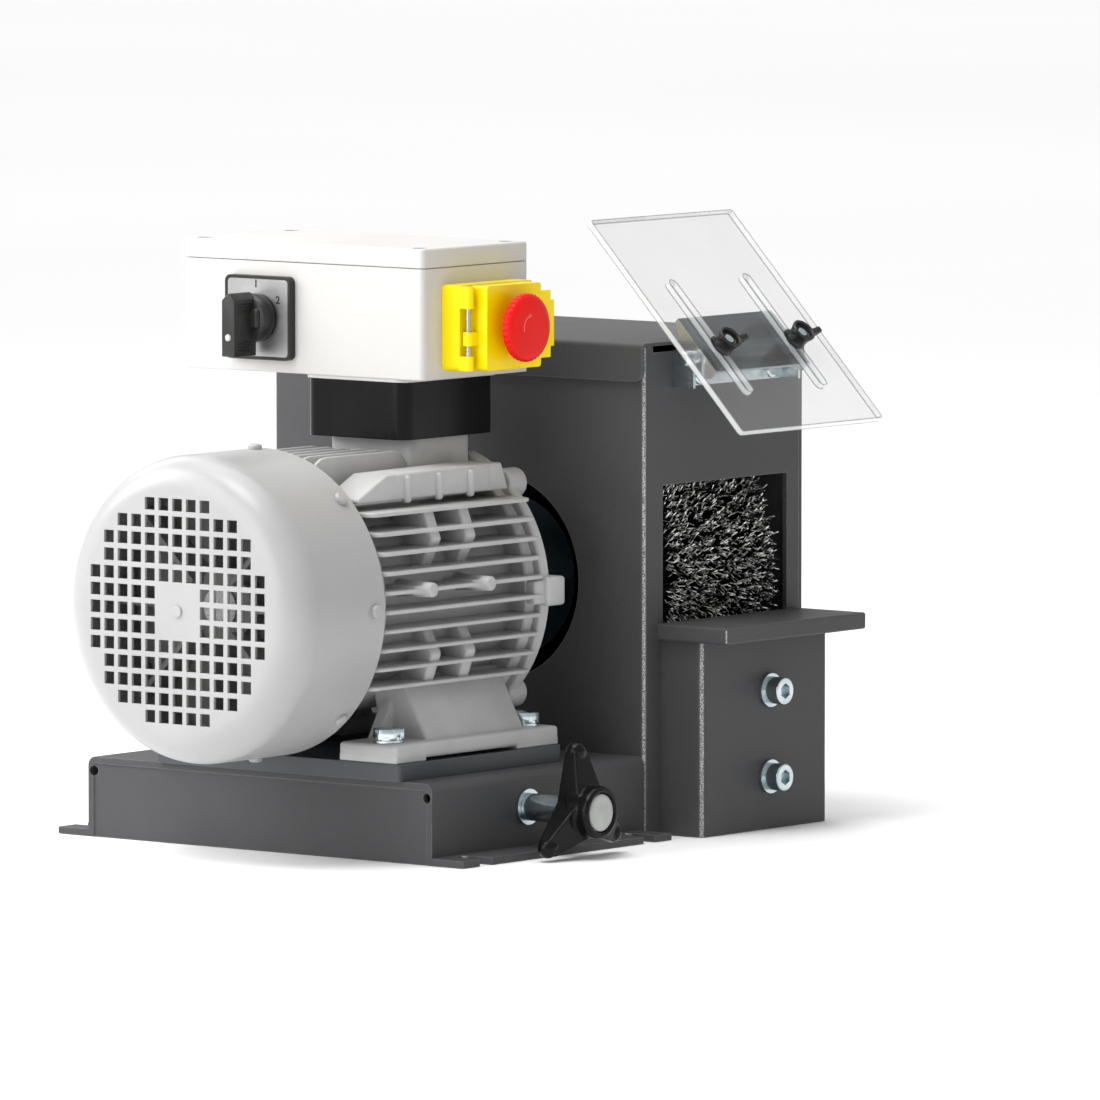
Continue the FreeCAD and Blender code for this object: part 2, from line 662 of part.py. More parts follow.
def control_box_lid():
    lid = block(*BOX_X, *BOX_Y, BOX_SEAM + 0.4, BOX_Z[1])
    lid = round_along(lid, Z_AXIS, 3.0)
    lid = round_face_rim(lid, 1.2, lambda f: abs(f.CenterOfMass.z - BOX_Z[1]) < 0.01)
    inner = block(BOX_X[0] + BOX_WALL, BOX_X[1] - BOX_WALL, BOX_Y[0] + BOX_WALL, BOX_Y[1] - BOX_WALL,
                  BOX_SEAM, BOX_Z[1] - BOX_WALL)
    lid = lid.cut(inner)
    for x, y in box_corner_posts():
        lid = lid.cut(rod_z(BOX_Z[1] - 1.0, BOX_Z[1] + 1, x, y, 4.5))
    return lid


def control_box_screws():
    return group([rod_z(BOX_Z[1] - 1.0, BOX_Z[1] - 0.2, x, y, 4.2) for x, y in box_corner_posts()])


def cable_gland():
    """Screwed gland in the rear end of the control box, where a supply lead would enter."""
    y0 = BOX_Y[1]
    nut = hexagon(V(230, y0, 300), Y_AXIS, 22.0, 6.0)
    dome = rod_y(y0 + 6, y0 + 15, 230, 300, 9.5)
    dome = dome.makeFillet(2.5, [e for e in dome.Edges if e.CenterOfMass.y > y0 + 14])
    stem = rod_y(y0 - BOX_WALL - 3, y0, 230, 300, 8.0)
    return fuse(nut, dome, stem).cut(rod_y(y0 - 20, y0 + 20, 230, 300, 4.0))


def switch_frame():
    half = SWITCH_SIZE / 2
    frame = block(BOX_X[0] - SWITCH_FRAME, BOX_X[0], SWITCH_Y - half, SWITCH_Y + half,
                  SWITCH_Z - half, SWITCH_Z + half)
    frame = round_along(frame, X_AXIS, 4.0)
    pocket_half = half - 1.8
    pocket = block(BOX_X[0] - SWITCH_FRAME - 1, BOX_X[0] - SWITCH_FRAME + 1.2, SWITCH_Y - pocket_half,
                   SWITCH_Y + pocket_half, SWITCH_Z - pocket_half, SWITCH_Z + pocket_half)
    frame = frame.cut(round_along(pocket, X_AXIS, 2.5))
    return frame.cut(rod_x(BOX_X[0] - 10, BOX_X[0] + 1, SWITCH_Y, SWITCH_Z, 8.0))


def switch_plate():
    half = SWITCH_SIZE / 2 - 1.9
    x0 = BOX_X[0] - SWITCH_FRAME + 0.2
    plate = block(x0, x0 + 1.0, SWITCH_Y - half, SWITCH_Y + half, SWITCH_Z - half, SWITCH_Z + half)
    plate = round_along(plate, X_AXIS, 2.4)
    return plate.cut(rod_x(x0 - 1, x0 + 2, SWITCH_Y, SWITCH_Z, 8.0))


def switch_body():
    """Cam switch block behind the front of the control box."""
    x0 = BOX_X[0] + BOX_WALL
    body = block(x0, x0 + 38, SWITCH_Y - 20, SWITCH_Y + 20, SWITCH_Z - 20, SWITCH_Z + 20)
    return body.cut(rod_x(x0 - 1, x0 + 14, SWITCH_Y, SWITCH_Z, 4.2))


def switch_knob():
    """Pointer handle on a round collar, its short end pointing at the chosen position."""
    face_x = BOX_X[0] - SWITCH_FRAME
    collar = rod_x(face_x - 8, face_x - 0.6, SWITCH_Y, SWITCH_Z, 14.0)
    spindle = rod_x(face_x - 1, BOX_X[0] + BOX_WALL + 12, SWITCH_Y, SWITCH_Z, 4.0)
    front = face_x - 28.0
    bar = prism([V(front, SWITCH_Y - 5, SWITCH_Z - 22), V(front, SWITCH_Y + 5, SWITCH_Z - 22),
                 V(front, SWITCH_Y + 5, SWITCH_Z + 11), V(front, SWITCH_Y, SWITCH_Z + 15.5),
                 V(front, SWITCH_Y - 5, SWITCH_Z + 11)], X_AXIS * 24)
    return fuse(collar, spindle, bar)


# ---- emergency stop ----
def estop_base():
    """Yellow housing on the box front with a pocket for the start button."""
    base = block(ESTOP_X0, ESTOP_X1, ESTOP_BASE_Y, BOX_Y[0], ESTOP_Z - ESTOP_HALF, ESTOP_Z + ESTOP_HALF)
    base = round_along(base, Y_AXIS, 3.0)
    for dx in (-13.0, 13.0):
        base = base.cut(rod_y(ESTOP_BASE_Y - 1, ESTOP_BASE_Y + 8, ESTOP_X + dx, ESTOP_Z, 7.5))
    knuckles = []
    for z0, z1 in BASE_KNUCKLES_Z:
        knuckle = rod_z(z0, z1, PIN_X, PIN_Y, KNUCKLE_R)
        bridge = block(PIN_X - 3, PIN_X + 3, PIN_Y, ESTOP_BASE_Y + 1, z0, z1)
        knuckles += [knuckle, bridge]
    base = fuse(base, *knuckles)
    return base.cut(rod_z(ESTOP_Z - 25, ESTOP_Z + 25, PIN_X, PIN_Y, PIN_R + RUNNING))


def estop_flap():
    """Hinged yellow flap that carries the stop mushroom and latches at the right."""
    z0 = ESTOP_Z - ESTOP_HALF + 0.4
    z1 = ESTOP_Z + ESTOP_HALF - 0.4
    front = block(FLAP_X0, FLAP_X1, FLAP_FRONT_Y, FLAP_BACK_Y, z0, z1)
    front = round_along(front, Y_AXIS, 2.0)
    latch = block(FLAP_X1 - 1, FLAP_X1 + 9, FLAP_FRONT_Y, FLAP_BACK_Y, z0 + 5, z1 - 5)
    tip = block(FLAP_X1 + 8, FLAP_X1 + 16, FLAP_FRONT_Y + 3, FLAP_BACK_Y, z0 + 11, z1 - 11)
    arm = block(PIN_X, FLAP_X0 + 1, PIN_Y - 3, PIN_Y + 2.5, *FLAP_KNUCKLE_Z)
    knuckle = rod_z(*FLAP_KNUCKLE_Z, PIN_X, PIN_Y, KNUCKLE_R)
    flap = fuse(front, latch, tip, arm, knuckle)
    flap = flap.cut(rod_z(ESTOP_Z - 25, ESTOP_Z + 25, PIN_X, PIN_Y, PIN_R))
    pocket = block(FLAP_X0 + 3, FLAP_X1 - 3, FLAP_BACK_Y - 7, FLAP_BACK_Y + 1, z0 + 3, z1 - 3)
    flap = flap.cut(pocket)
    return flap.cut(rod_y(FLAP_FRONT_Y - 1, FLAP_BACK_Y + 1, ESTOP_X, ESTOP_Z, 8.0 + RUNNING))


def estop_hinge_pin():
    return rod_z(ESTOP_Z - 24.5, ESTOP_Z + 24.5, PIN_X, PIN_Y, PIN_R)


def estop_button():
    """Red mushroom head on its stem."""
    head_back = MUSHROOM_FRONT_Y + 7.0
    head = rod_y(MUSHROOM_FRONT_Y, head_back, ESTOP_X, ESTOP_Z, MUSHROOM_R)
    head = head.makeFillet(2.5, [e for e in head.Edges if e.CenterOfMass.y < MUSHROOM_FRONT_Y + 0.5])
    stem = rod_y(head_back, FLAP_BACK_Y - 4.5, ESTOP_X, ESTOP_Z, 8.0)
    return fuse(head, stem)


def panel_button(dx):
    """A small push button in the pocket behind the flap."""
    return rod_y(ESTOP_BASE_Y - 0.8, ESTOP_BASE_Y + 5, ESTOP_X + dx, ESTOP_Z, 7.5 - RUNNING)


# ---- brush drive ----
def brush_arbor():
    """Sleeve on the motor shaft that carries the brush and ends in a thread."""
    sleeve = rod_x(258, 306, 0, AXIS_Z, 20.0)
    spigot = rod_x(306, BRUSH_X1 + 17, 0, AXIS_Z, 12.5)
    arbor = fuse(sleeve, spigot)
    arbor = arbor.cut(rod_x(257, SHAFT_X1, 0, AXIS_Z, SHAFT_R))
    return arbor.cut(block(257, 290.2, -4, 4, AXIS_Z + 8, AXIS_Z + 14.6))


def flange_disc(x0, x1, r):
    return rod_x(x0, x1, 0, AXIS_Z, r).cut(rod_x(x0 - 1, x1 + 1, 0, AXIS_Z, 12.5))


def brush_core():
    core = rod_x(312, BRUSH_X1, 0, AXIS_Z, BRUSH_CORE_R)
    return core.cut(rod_x(311, BRUSH_X1 + 1, 0, AXIS_Z, 12.5))


def brush_bristles():
    """Outer form of the wire bristle field."""
    ring = rod_x(BRUSH_X0, BRUSH_X1, 0, AXIS_Z, BRUSH_R)
    return ring.cut(rod_x(BRUSH_X0 - 1, BRUSH_X1 + 1, 0, AXIS_Z, BRUSH_CORE_R))


def brush_nut():
    nut = hexagon(V(BRUSH_X1 + 6, 0, AXIS_Z), X_AXIS, 36.0, 10.0)
    return nut.cut(rod_x(BRUSH_X1 + 5, BRUSH_X1 + 17, 0, AXIS_Z, 12.5))


# ---- brush housing ----
def housing_shell():
    """Folded sheet box with a shaft hole in its left wall and a window in its front."""
    bend = 3.5
    outer = block(HOUSING_X0, HOUSING_X1 - HOUSING_SHEET, HOUSING_Y0, HOUSING_Y1, 0, HOUSING_TOP)
    outer = round_along(outer, Z_AXIS, bend, lambda c: c.x < HOUSING_X0 + 1)
    inner = block(HOUSING_X0 + HOUSING_SHEET, HOUSING_X1, HOUSING_Y0 + HOUSING_SHEET,
                  HOUSING_Y1 - HOUSING_SHEET, HOUSING_SHEET, HOUSING_TOP + 1)
    shell = outer.cut(inner)
    shell = shell.cut(block(HOUSING_X0 + 8, HOUSING_X1, HOUSING_Y0 - 1, HOUSING_Y0 + HOUSING_SHEET,
                            PANEL_TOP, HOUSING_TOP + 1))
    shell = shell.cut(rod_x(HOUSING_X0 - 1, HOUSING_X0 + 5, 0, AXIS_Z, WALL_HOLE_R))
    window = block(WINDOW_X0, WINDOW_X1, HOUSING_Y0 - 1, HOUSING_Y0 + HOUSING_SHEET + 1,
                   WINDOW_Z0, WINDOW_Z1)
    return shell.cut(window)


def side_cover_holes():
    places = []
    for y in (HOUSING_Y0 + 12, HOUSING_Y1 - 12):
        for z in (14.0, 135.0, 252.0):
            places.append((y, z))
    return places


def housing_side_cover():
    """Removable right wall, taken off to change the brush."""
    x0 = HOUSING_X1 - HOUSING_SHEET
    plate = block(x0, HOUSING_X1, HOUSING_Y0, HOUSING_Y1, 0, HOUSING_TOP)
    for y, z in side_cover_holes():
        plate = plate.cut(rod_x(x0 - 1, HOUSING_X1 + 1, y, z, 2.5))
    return plate


def lid_screw_places():
    return [V(x, HOUSING_Y1 + LID_GAP + LID_SHEET, LID_TOP - 12) for x in (325.0, 415.0)]


def cover_screws():
    screws = []
    for y, z in side_cover_holes():
        seat = V(HOUSING_X1, y, z)
        screws.append(fuse(pan_head(seat, X_AXIS, 4.5, 2.0), rod_x(HOUSING_X1 - 3, HOUSING_X1, y, z, 2.5)))
    for place in lid_screw_places():
        screws.append(pan_head(place, Y_AXIS, 4.5, 2.4))
    return group(screws)


def housing_lid():
    """Folded lid: its flanges hang down both sides and the back, with rounded front corners."""
    x0 = HOUSING_X0 - LID_GAP - LID_SHEET
    x1 = HOUSING_X1 + LID_GAP + LID_SHEET
    y1 = HOUSING_Y1 + LID_GAP + LID_SHEET
    z0 = LID_TOP - LID_DROP
    lid = block(x0, x1, HOUSING_Y0, y1, z0, LID_TOP)
    lid = round_along(lid, Y_AXIS, 3.0, lambda c: c.z > LID_TOP - 1)
    lid = round_along(lid, X_AXIS, 6.0, lambda c: c.z < z0 + 1 and c.y < HOUSING_Y0 + 1)
    core = block(x0 + LID_SHEET, x1 - LID_SHEET, HOUSING_Y0 - 1, y1 - LID_SHEET, z0 - 1, LID_TOP - LID_SHEET)
    return lid.cut(core)


# ---- work rest ----
def work_rest_bracket():
    """Upright channel in front of the housing that carries the rest."""
    bend = 4.0
    outer = block(BRACKET_X0, BRACKET_X1, BRACKET_Y0, HOUSING_Y0, 0, REST_Z0)
    outer = round_along(outer, Z_AXIS, bend, lambda c: c.y < BRACKET_Y0 + 1)
    inner = block(BRACKET_X0 + BRACKET_SHEET, BRACKET_X1 - BRACKET_SHEET, BRACKET_Y0 + BRACKET_SHEET,
                  HOUSING_Y0 + 1, -1, REST_Z0 + 1)
    channel = outer.cut(inner)
    for z in REST_BOLT_Z:
        channel = channel.cut(rod_y(BRACKET_Y0 - 1, BRACKET_Y0 + BRACKET_SHEET + 1, REST_BOLT_X, z, 5.3))
    return channel


def work_rest_table():
    table = block(REST_X0, REST_X1, REST_Y0, HOUSING_Y0, REST_Z0, REST_Z1)
    table = round_along(table, Z_AXIS, 1.5, lambda c: c.y < REST_Y0 + 1)
    return round_along(table, X_AXIS, 1.5, lambda c: c.y < REST_Y0 + 1)


def rest_bolts():
    """Socket screws on washers, through the channel and its spacer sleeves into the housing."""
    solids = []
    for z in REST_BOLT_Z:
        washer = rod_y(BRACKET_Y0 - 2.5, BRACKET_Y0, REST_BOLT_X, z, 10.0)
        washer = washer.cut(rod_y(BRACKET_Y0 - 3, BRACKET_Y0 + 1, REST_BOLT_X, z, 5.0))
        head = rod_y(BRACKET_Y0 - 12.5, BRACKET_Y0 - 2.5, REST_BOLT_X, z, 8.0)
        rim = [e for e in head.Edges if e.CenterOfMass.y < BRACKET_Y0 - 12]
        head = head.makeFillet(0.8, rim)
        socket = hexagon(V(REST_BOLT_X, BRACKET_Y0 - 13, z), Y_AXIS, 8.0, 6.0)
        shank = rod_y(BRACKET_Y0 - 2.5, HOUSING_Y0, REST_BOLT_X, z, 5.0)
        sleeve = rod_y(BRACKET_Y0 + BRACKET_SHEET, HOUSING_Y0, REST_BOLT_X, z, 9.0)
        sleeve = sleeve.cut(rod_y(BRACKET_Y0, HOUSING_Y0 + 1, REST_BOLT_X, z, 5.0))
        solids += [washer, fuse(head, shank).cut(socket), sleeve]
    return group(solids)


# ---- shield ----
def shield_bracket():
    """Bracket on the housing front with an ear at each end for the tilt pivots."""
    z0 = 262.0
    z1 = 273.0
    strip = block(EAR_X[0], EAR_X[1], HOUSING_Y0 - 2, HOUSING_Y0, z0, z1)
    ears = []
    for x0 in (EAR_X[0], EAR_X[1] - 2):
        outline = block(x0, x0 + 2, PIVOT_Y - 5, HOUSING_Y0, z0, PIVOT_Z + 5)
        ear = round_along(outline, X_AXIS, 4.8, lambda c: c.y < PIVOT_Y and c.z > PIVOT_Z)
        ears.append(ear)
    bracket = fuse(strip, *ears)
    return bracket.cut(rod_x(EAR_X[0] - 1, EAR_X[1] + 1, PIVOT_Y, PIVOT_Z, 2.5 + RUNNING))


def shield_bracket_screws():
    return group([pan_head(V(x, HOUSING_Y0 - 2, 267.0), V(0, -1, 0), 4.5, 2.8) for x in (342.8, 412.1)])


def tilt_plate():
    """Plate under the clear panel with a turned-down flange at each side for the pivots."""
    top = -SHIELD_THICK
    plate = slope_block(TILT_X0, TILT_X1, TILT_S[0], TILT_S[1], top - TILT_SHEET, top)
    edge = top - TILT_FLANGE
    for x in (TILT_X0, TILT_X1 - TILT_SHEET):
        outline = [slope_point(x, TILT_S[0], top), slope_point(x, TILT_S[0], top - 2.5),
                   slope_point(x, 91.0, edge), slope_point(x, 108.0, edge),
                   slope_point(x, TILT_S[1], edge + 5), slope_point(x, TILT_S[1], top)]
        plate = plate.fuse(prism(outline, X_AXIS * TILT_SHEET))
    plate = plate.removeSplitter()
    for x in SHIELD_SLOT_X:
        plate = plate.cut(slope_rod(x, CLAMP_S, top - 4, top + 1, CLAMP_BOLT_R))
    return plate.cut(rod_x(TILT_X0 - 1, TILT_X1 + 1, PIVOT_Y, PIVOT_Z, 2.5))


def tilt_pivot_screws():
    """Round-headed pivot screws with a spacer bush on the left one."""
    head_gap = 0.3
    left_head = pan_head(V(EAR_X[0] - head_gap, PIVOT_Y, PIVOT_Z), V(-1, 0, 0), 4.8, 3.5)
    left_pin = rod_x(EAR_X[0] - head_gap, TILT_X0 + TILT_SHEET + 4, PIVOT_Y, PIVOT_Z, 2.5)
    bush = rod_x(EAR_X[0] + 2 + head_gap, TILT_X0, PIVOT_Y, PIVOT_Z, 4.5)
    right_head = pan_head(V(EAR_X[1] + head_gap, PIVOT_Y, PIVOT_Z), X_AXIS, 4.8, 3.5)
    right_pin = rod_x(TILT_X1 - TILT_SHEET - 4, EAR_X[1] + head_gap, PIVOT_Y, PIVOT_Z, 2.5)
    return group([fuse(left_head, left_pin, bush), fuse(right_head, right_pin)])


def clamp_bolts():
    """Two bolts that stand through the tilt plate and the slots of the clear panel."""
    bolts = []
    for x in SHIELD_SLOT_X:
        under = -SHIELD_THICK - TILT_SHEET
        bolts.append(fuse(slope_rod(x, CLAMP_S, under - 2.5, under, 4.5),
                          slope_rod(x, CLAMP_S, under, 9.0, CLAMP_BOLT_R)))
    return group(bolts)


def shield_panel():
    """Clear panel with rounded corners and two long slots."""
    panel = slope_block(SHIELD_PANEL_X0, SHIELD_PANEL_X1, 0, SHIELD_LENGTH, -SHIELD_THICK, 0)
    panel = round_along(panel, slope_normal(), 2.0)
    half = SHIELD_SLOT_WIDTH / 2
    for x in SHIELD_SLOT_X:
        s0 = SHIELD_SLOT_S[0] + half
        s1 = SHIELD_SLOT_S[1] - half
        panel = panel.cut(slope_block(x - half, x + half, s0, s1, -SHIELD_THICK - 1, 1))
        for s in (s0, s1):
            panel = panel.cut(slope_rod(x, s, -SHIELD_THICK - 1, 1, half))
    return panel


def wing_nut(x):
    """Black wing nut: a round hub with a wing on each side, just clear of the panel."""
    base = 0.35
    half = WING_THICK / 2
    nut = slope_rod(x, CLAMP_S, base, base + WING_HUB_HEIGHT, WING_HUB_R)
    for x0, x1 in ((x - WING_REACH, x - WING_HUB_R + 1), (x + WING_HUB_R - 1, x + WING_REACH)):
        wing = slope_block(x0, x1, CLAMP_S - half, CLAMP_S + half, base + 3.0, base + WING_HEIGHT)
        nut = fuse(nut, wing)
    return nut.cut(slope_rod(x, CLAMP_S, 0, WING_HEIGHT + 1, CLAMP_BOLT_R + RUNNING))


# ---- the whole machine ----
def make_parts():
    """Every sub-part by its node name."""
    return {
        "base_frame": base_frame(),
        "spindle_bush": spindle_bush(),
        "housing_shell": housing_shell(),
        "housing_side_cover": housing_side_cover(),
        "housing_lid": housing_lid(),
        "cover_screws": cover_screws(),
        "work_rest_bracket": work_rest_bracket(),
        "work_rest_table": work_rest_table(),
        "rest_bolts": rest_bolts(),
        "shield_bracket": shield_bracket(),
        "shield_bracket_screws": shield_bracket_screws(),
        "slide_plate": slide_plate(),
        "hold_down_strips": hold_down_strips(),
        "hold_down_screws": hold_down_screws(),
        "spindle_nut": spindle_nut(),
        "motor_frame": motor_frame(),
        "motor_foot_bolts": motor_foot_bolts(),
        "stator_core": stator_core(),
        "stator_windings": stator_windings(),
        "drive_end_shield": drive_end_shield(),
        "fan_end_shield": fan_end_shield(),
        "drive_end_bearing": bearing_ring(FRAME_X1 - 6),
        "fan_end_bearing": bearing_ring(FRAME_X0 + 6 - BEARING_WIDTH),
        "fan_cover": fan_cover(),
        "fan_cover_screws": fan_cover_screws(),
        "terminal_adapter": terminal_adapter(),
        "control_box_body": control_box_body(),
        "control_box_lid": control_box_lid(),
        "control_box_screws": control_box_screws(),
        "cable_gland": cable_gland(),
        "switch_frame": switch_frame(),
        "switch_plate": switch_plate(),
        "switch_body": switch_body(),
        "switch_knob": switch_knob(),
        "estop_base": estop_base(),
        "estop_flap": estop_flap(),
        "estop_hinge_pin": estop_hinge_pin(),
        "estop_button": estop_button(),
        "start_button": panel_button(13.0),
        "stop_button": panel_button(-13.0),
        "motor_shaft": motor_shaft(),
        "rotor_core": rotor_core(),
        "shaft_key": shaft_key(),
        "cooling_fan": cooling_fan(),
        "brush_arbor": brush_arbor(),
        "brush_inner_flange": flange_disc(306, 312, 48.0),
        "brush_core": brush_core(),
        "brush_bristles": brush_bristles(),
        "brush_outer_flange": flange_disc(BRUSH_X1, BRUSH_X1 + 6, 44.0),
        "brush_nut": brush_nut(),
        "feed_spindle": feed_spindle(),
        "spindle_spacer": spindle_spacer(),
        "star_knob": star_knob(),
        "knob_cap": knob_cap(),
        "tilt_plate": tilt_plate(),
        "tilt_pivot_screws": tilt_pivot_screws(),
        "clamp_bolts": clamp_bolts(),
        "shield_panel": shield_panel(),
        "wing_nut_left": wing_nut(SHIELD_SLOT_X[0]),
        "wing_nut_right": wing_nut(SHIELD_SLOT_X[1]),
    }


def row_origin(parts):
    """Middle of the whole machine's footprint, at bench level."""
    box = FreeCAD.BoundBox()
    for shape in parts.values():
        box.add(shape.optimalBoundingBox(False))
    return V((box.XMin + box.XMax) / 2, (box.YMin + box.YMax) / 2, 0)


def main():
    os.makedirs("parts", exist_ok=True)
    parts = make_parts()
    origin = row_origin(parts)
    print("origin in the working frame:", origin)
    for name, shape in parts.items():
        litres = shape.Volume / 1e6
        print(f"{name:22s} solids {len(shape.Solids)}  valid {shape.isValid()}  volume {litres:.4f} l")
        shape.translated(-origin).exportStep(f"parts/{name}.step")


main()
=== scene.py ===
import json
import math
import random

import bmesh
import bpy
from mathutils import Matrix, Vector


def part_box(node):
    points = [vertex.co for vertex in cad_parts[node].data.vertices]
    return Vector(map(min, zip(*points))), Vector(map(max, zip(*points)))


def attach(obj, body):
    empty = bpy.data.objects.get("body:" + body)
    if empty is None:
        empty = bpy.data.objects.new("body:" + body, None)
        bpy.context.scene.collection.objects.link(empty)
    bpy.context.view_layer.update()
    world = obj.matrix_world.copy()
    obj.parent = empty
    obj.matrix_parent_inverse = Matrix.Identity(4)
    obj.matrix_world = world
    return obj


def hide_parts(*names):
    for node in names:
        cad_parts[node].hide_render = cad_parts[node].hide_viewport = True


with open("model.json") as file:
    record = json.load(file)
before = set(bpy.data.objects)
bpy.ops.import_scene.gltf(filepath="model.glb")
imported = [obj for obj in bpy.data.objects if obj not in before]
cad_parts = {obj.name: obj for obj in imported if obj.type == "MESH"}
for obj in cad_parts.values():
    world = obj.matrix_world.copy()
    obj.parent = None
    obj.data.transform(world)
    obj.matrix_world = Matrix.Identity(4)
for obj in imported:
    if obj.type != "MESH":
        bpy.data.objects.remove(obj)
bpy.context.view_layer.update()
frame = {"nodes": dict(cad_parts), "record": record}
nodes = frame["nodes"]

MM = 0.001

# Working places are in millimetres: X from the fan cover's front face, Y from the
# motor axis towards the back, Z up from the bench.
shaft_low, shaft_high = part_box("motor_shaft")
START = Vector((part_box("fan_cover")[0].x, (shaft_low.y + shaft_high.y) / 2, 0))
BENCH = Matrix.Translation(START) @ Matrix.Scale(MM, 4)
AXIS_Z = (shaft_low.z + shaft_high.z) / 2 / MM
TURN = 2 * math.pi


def span(node):
    """Lowest and highest corner of a CAD node, in working millimetres."""
    low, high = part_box(node)
    return (low - START) / MM, (high - START) / MM


# ---- camera, floor and light ----
VIEW_FROM = Vector((-5862.8, -4909.6, 848.8))
VIEW_ALONG = Vector((0.781312, 0.618070, -0.086838))
LENS = 439.36
SENSOR = 36.0
NEAR_AND_FAR = (0.1, 100)
MACHINE_MIDDLE = Vector((230, 0, 160))
SKY_STRENGTH = 0.62
FLOOR_SIZE = 60.0
FLOOR_DROP = 0.0003

camera = bpy.data.objects.new("camera", bpy.data.cameras.new("camera"))
bpy.context.scene.collection.objects.link(camera)
camera.location = BENCH @ VIEW_FROM
camera.rotation_euler = VIEW_ALONG.to_track_quat("-Z", "Y").to_euler()
camera.data.lens = LENS
camera.data.sensor_width = SENSOR
camera.data.clip_start, camera.data.clip_end = NEAR_AND_FAR
bpy.context.scene.camera = camera
bpy.context.scene.view_settings.view_transform = "Standard"


def area_light(name, place, size, power):
    """A soft rectangular lamp that faces the middle of the machine."""
    lamp = bpy.data.lights.new(name, "AREA")
    lamp.size = size
    lamp.energy = power
    holder = bpy.data.objects.new(name, lamp)
    bpy.context.scene.collection.objects.link(holder)
    holder.location = BENCH @ Vector(place)
    aim = BENCH @ MACHINE_MIDDLE - holder.location
    holder.rotation_euler = aim.to_track_quat("-Z", "Y").to_euler()


def sun_light(name, along, strength, spread):
    """A distant lamp, softened by its spread in degrees."""
    lamp = bpy.data.lights.new(name, "SUN")
    lamp.energy = strength
    lamp.angle = math.radians(spread)
    holder = bpy.data.objects.new(name, lamp)
    bpy.context.scene.collection.objects.link(holder)
    holder.rotation_euler = Vector(along).to_track_quat("-Z", "Y").to_euler()


area_light("left_softbox", (-1700, 420, 820), 1.4, 17)
area_light("side_softbox", (-450, 950, 800), 0.7, 10)
area_light("top_softbox", (150, 300, 2300), 1.8, 26)
sun_light("key", (0.42, -0.04, -0.90), 1.3, 24)
sun_light("back", (-0.35, -0.75, -0.55), 0.4, 30)

floor_mesh = bpy.data.meshes.new("studio_floor")
floor_shape = bmesh.new()
bmesh.ops.create_grid(floor_shape, x_segments=1, y_segments=1, size=FLOOR_SIZE / 2)
floor_shape.to_mesh(floor_mesh)
floor_shape.free()
floor = bpy.data.objects.new("studio_floor", floor_mesh)
bpy.context.scene.collection.objects.link(floor)
floor.location = (0, 0, -FLOOR_DROP)

world = bpy.data.worlds.new("studio")
world.use_nodes = True
world.node_tree.nodes["Background"].inputs["Color"].default_value = (1, 1, 1, 1)
world.node_tree.nodes["Background"].inputs["Strength"].default_value = SKY_STRENGTH
bpy.context.scene.world = world


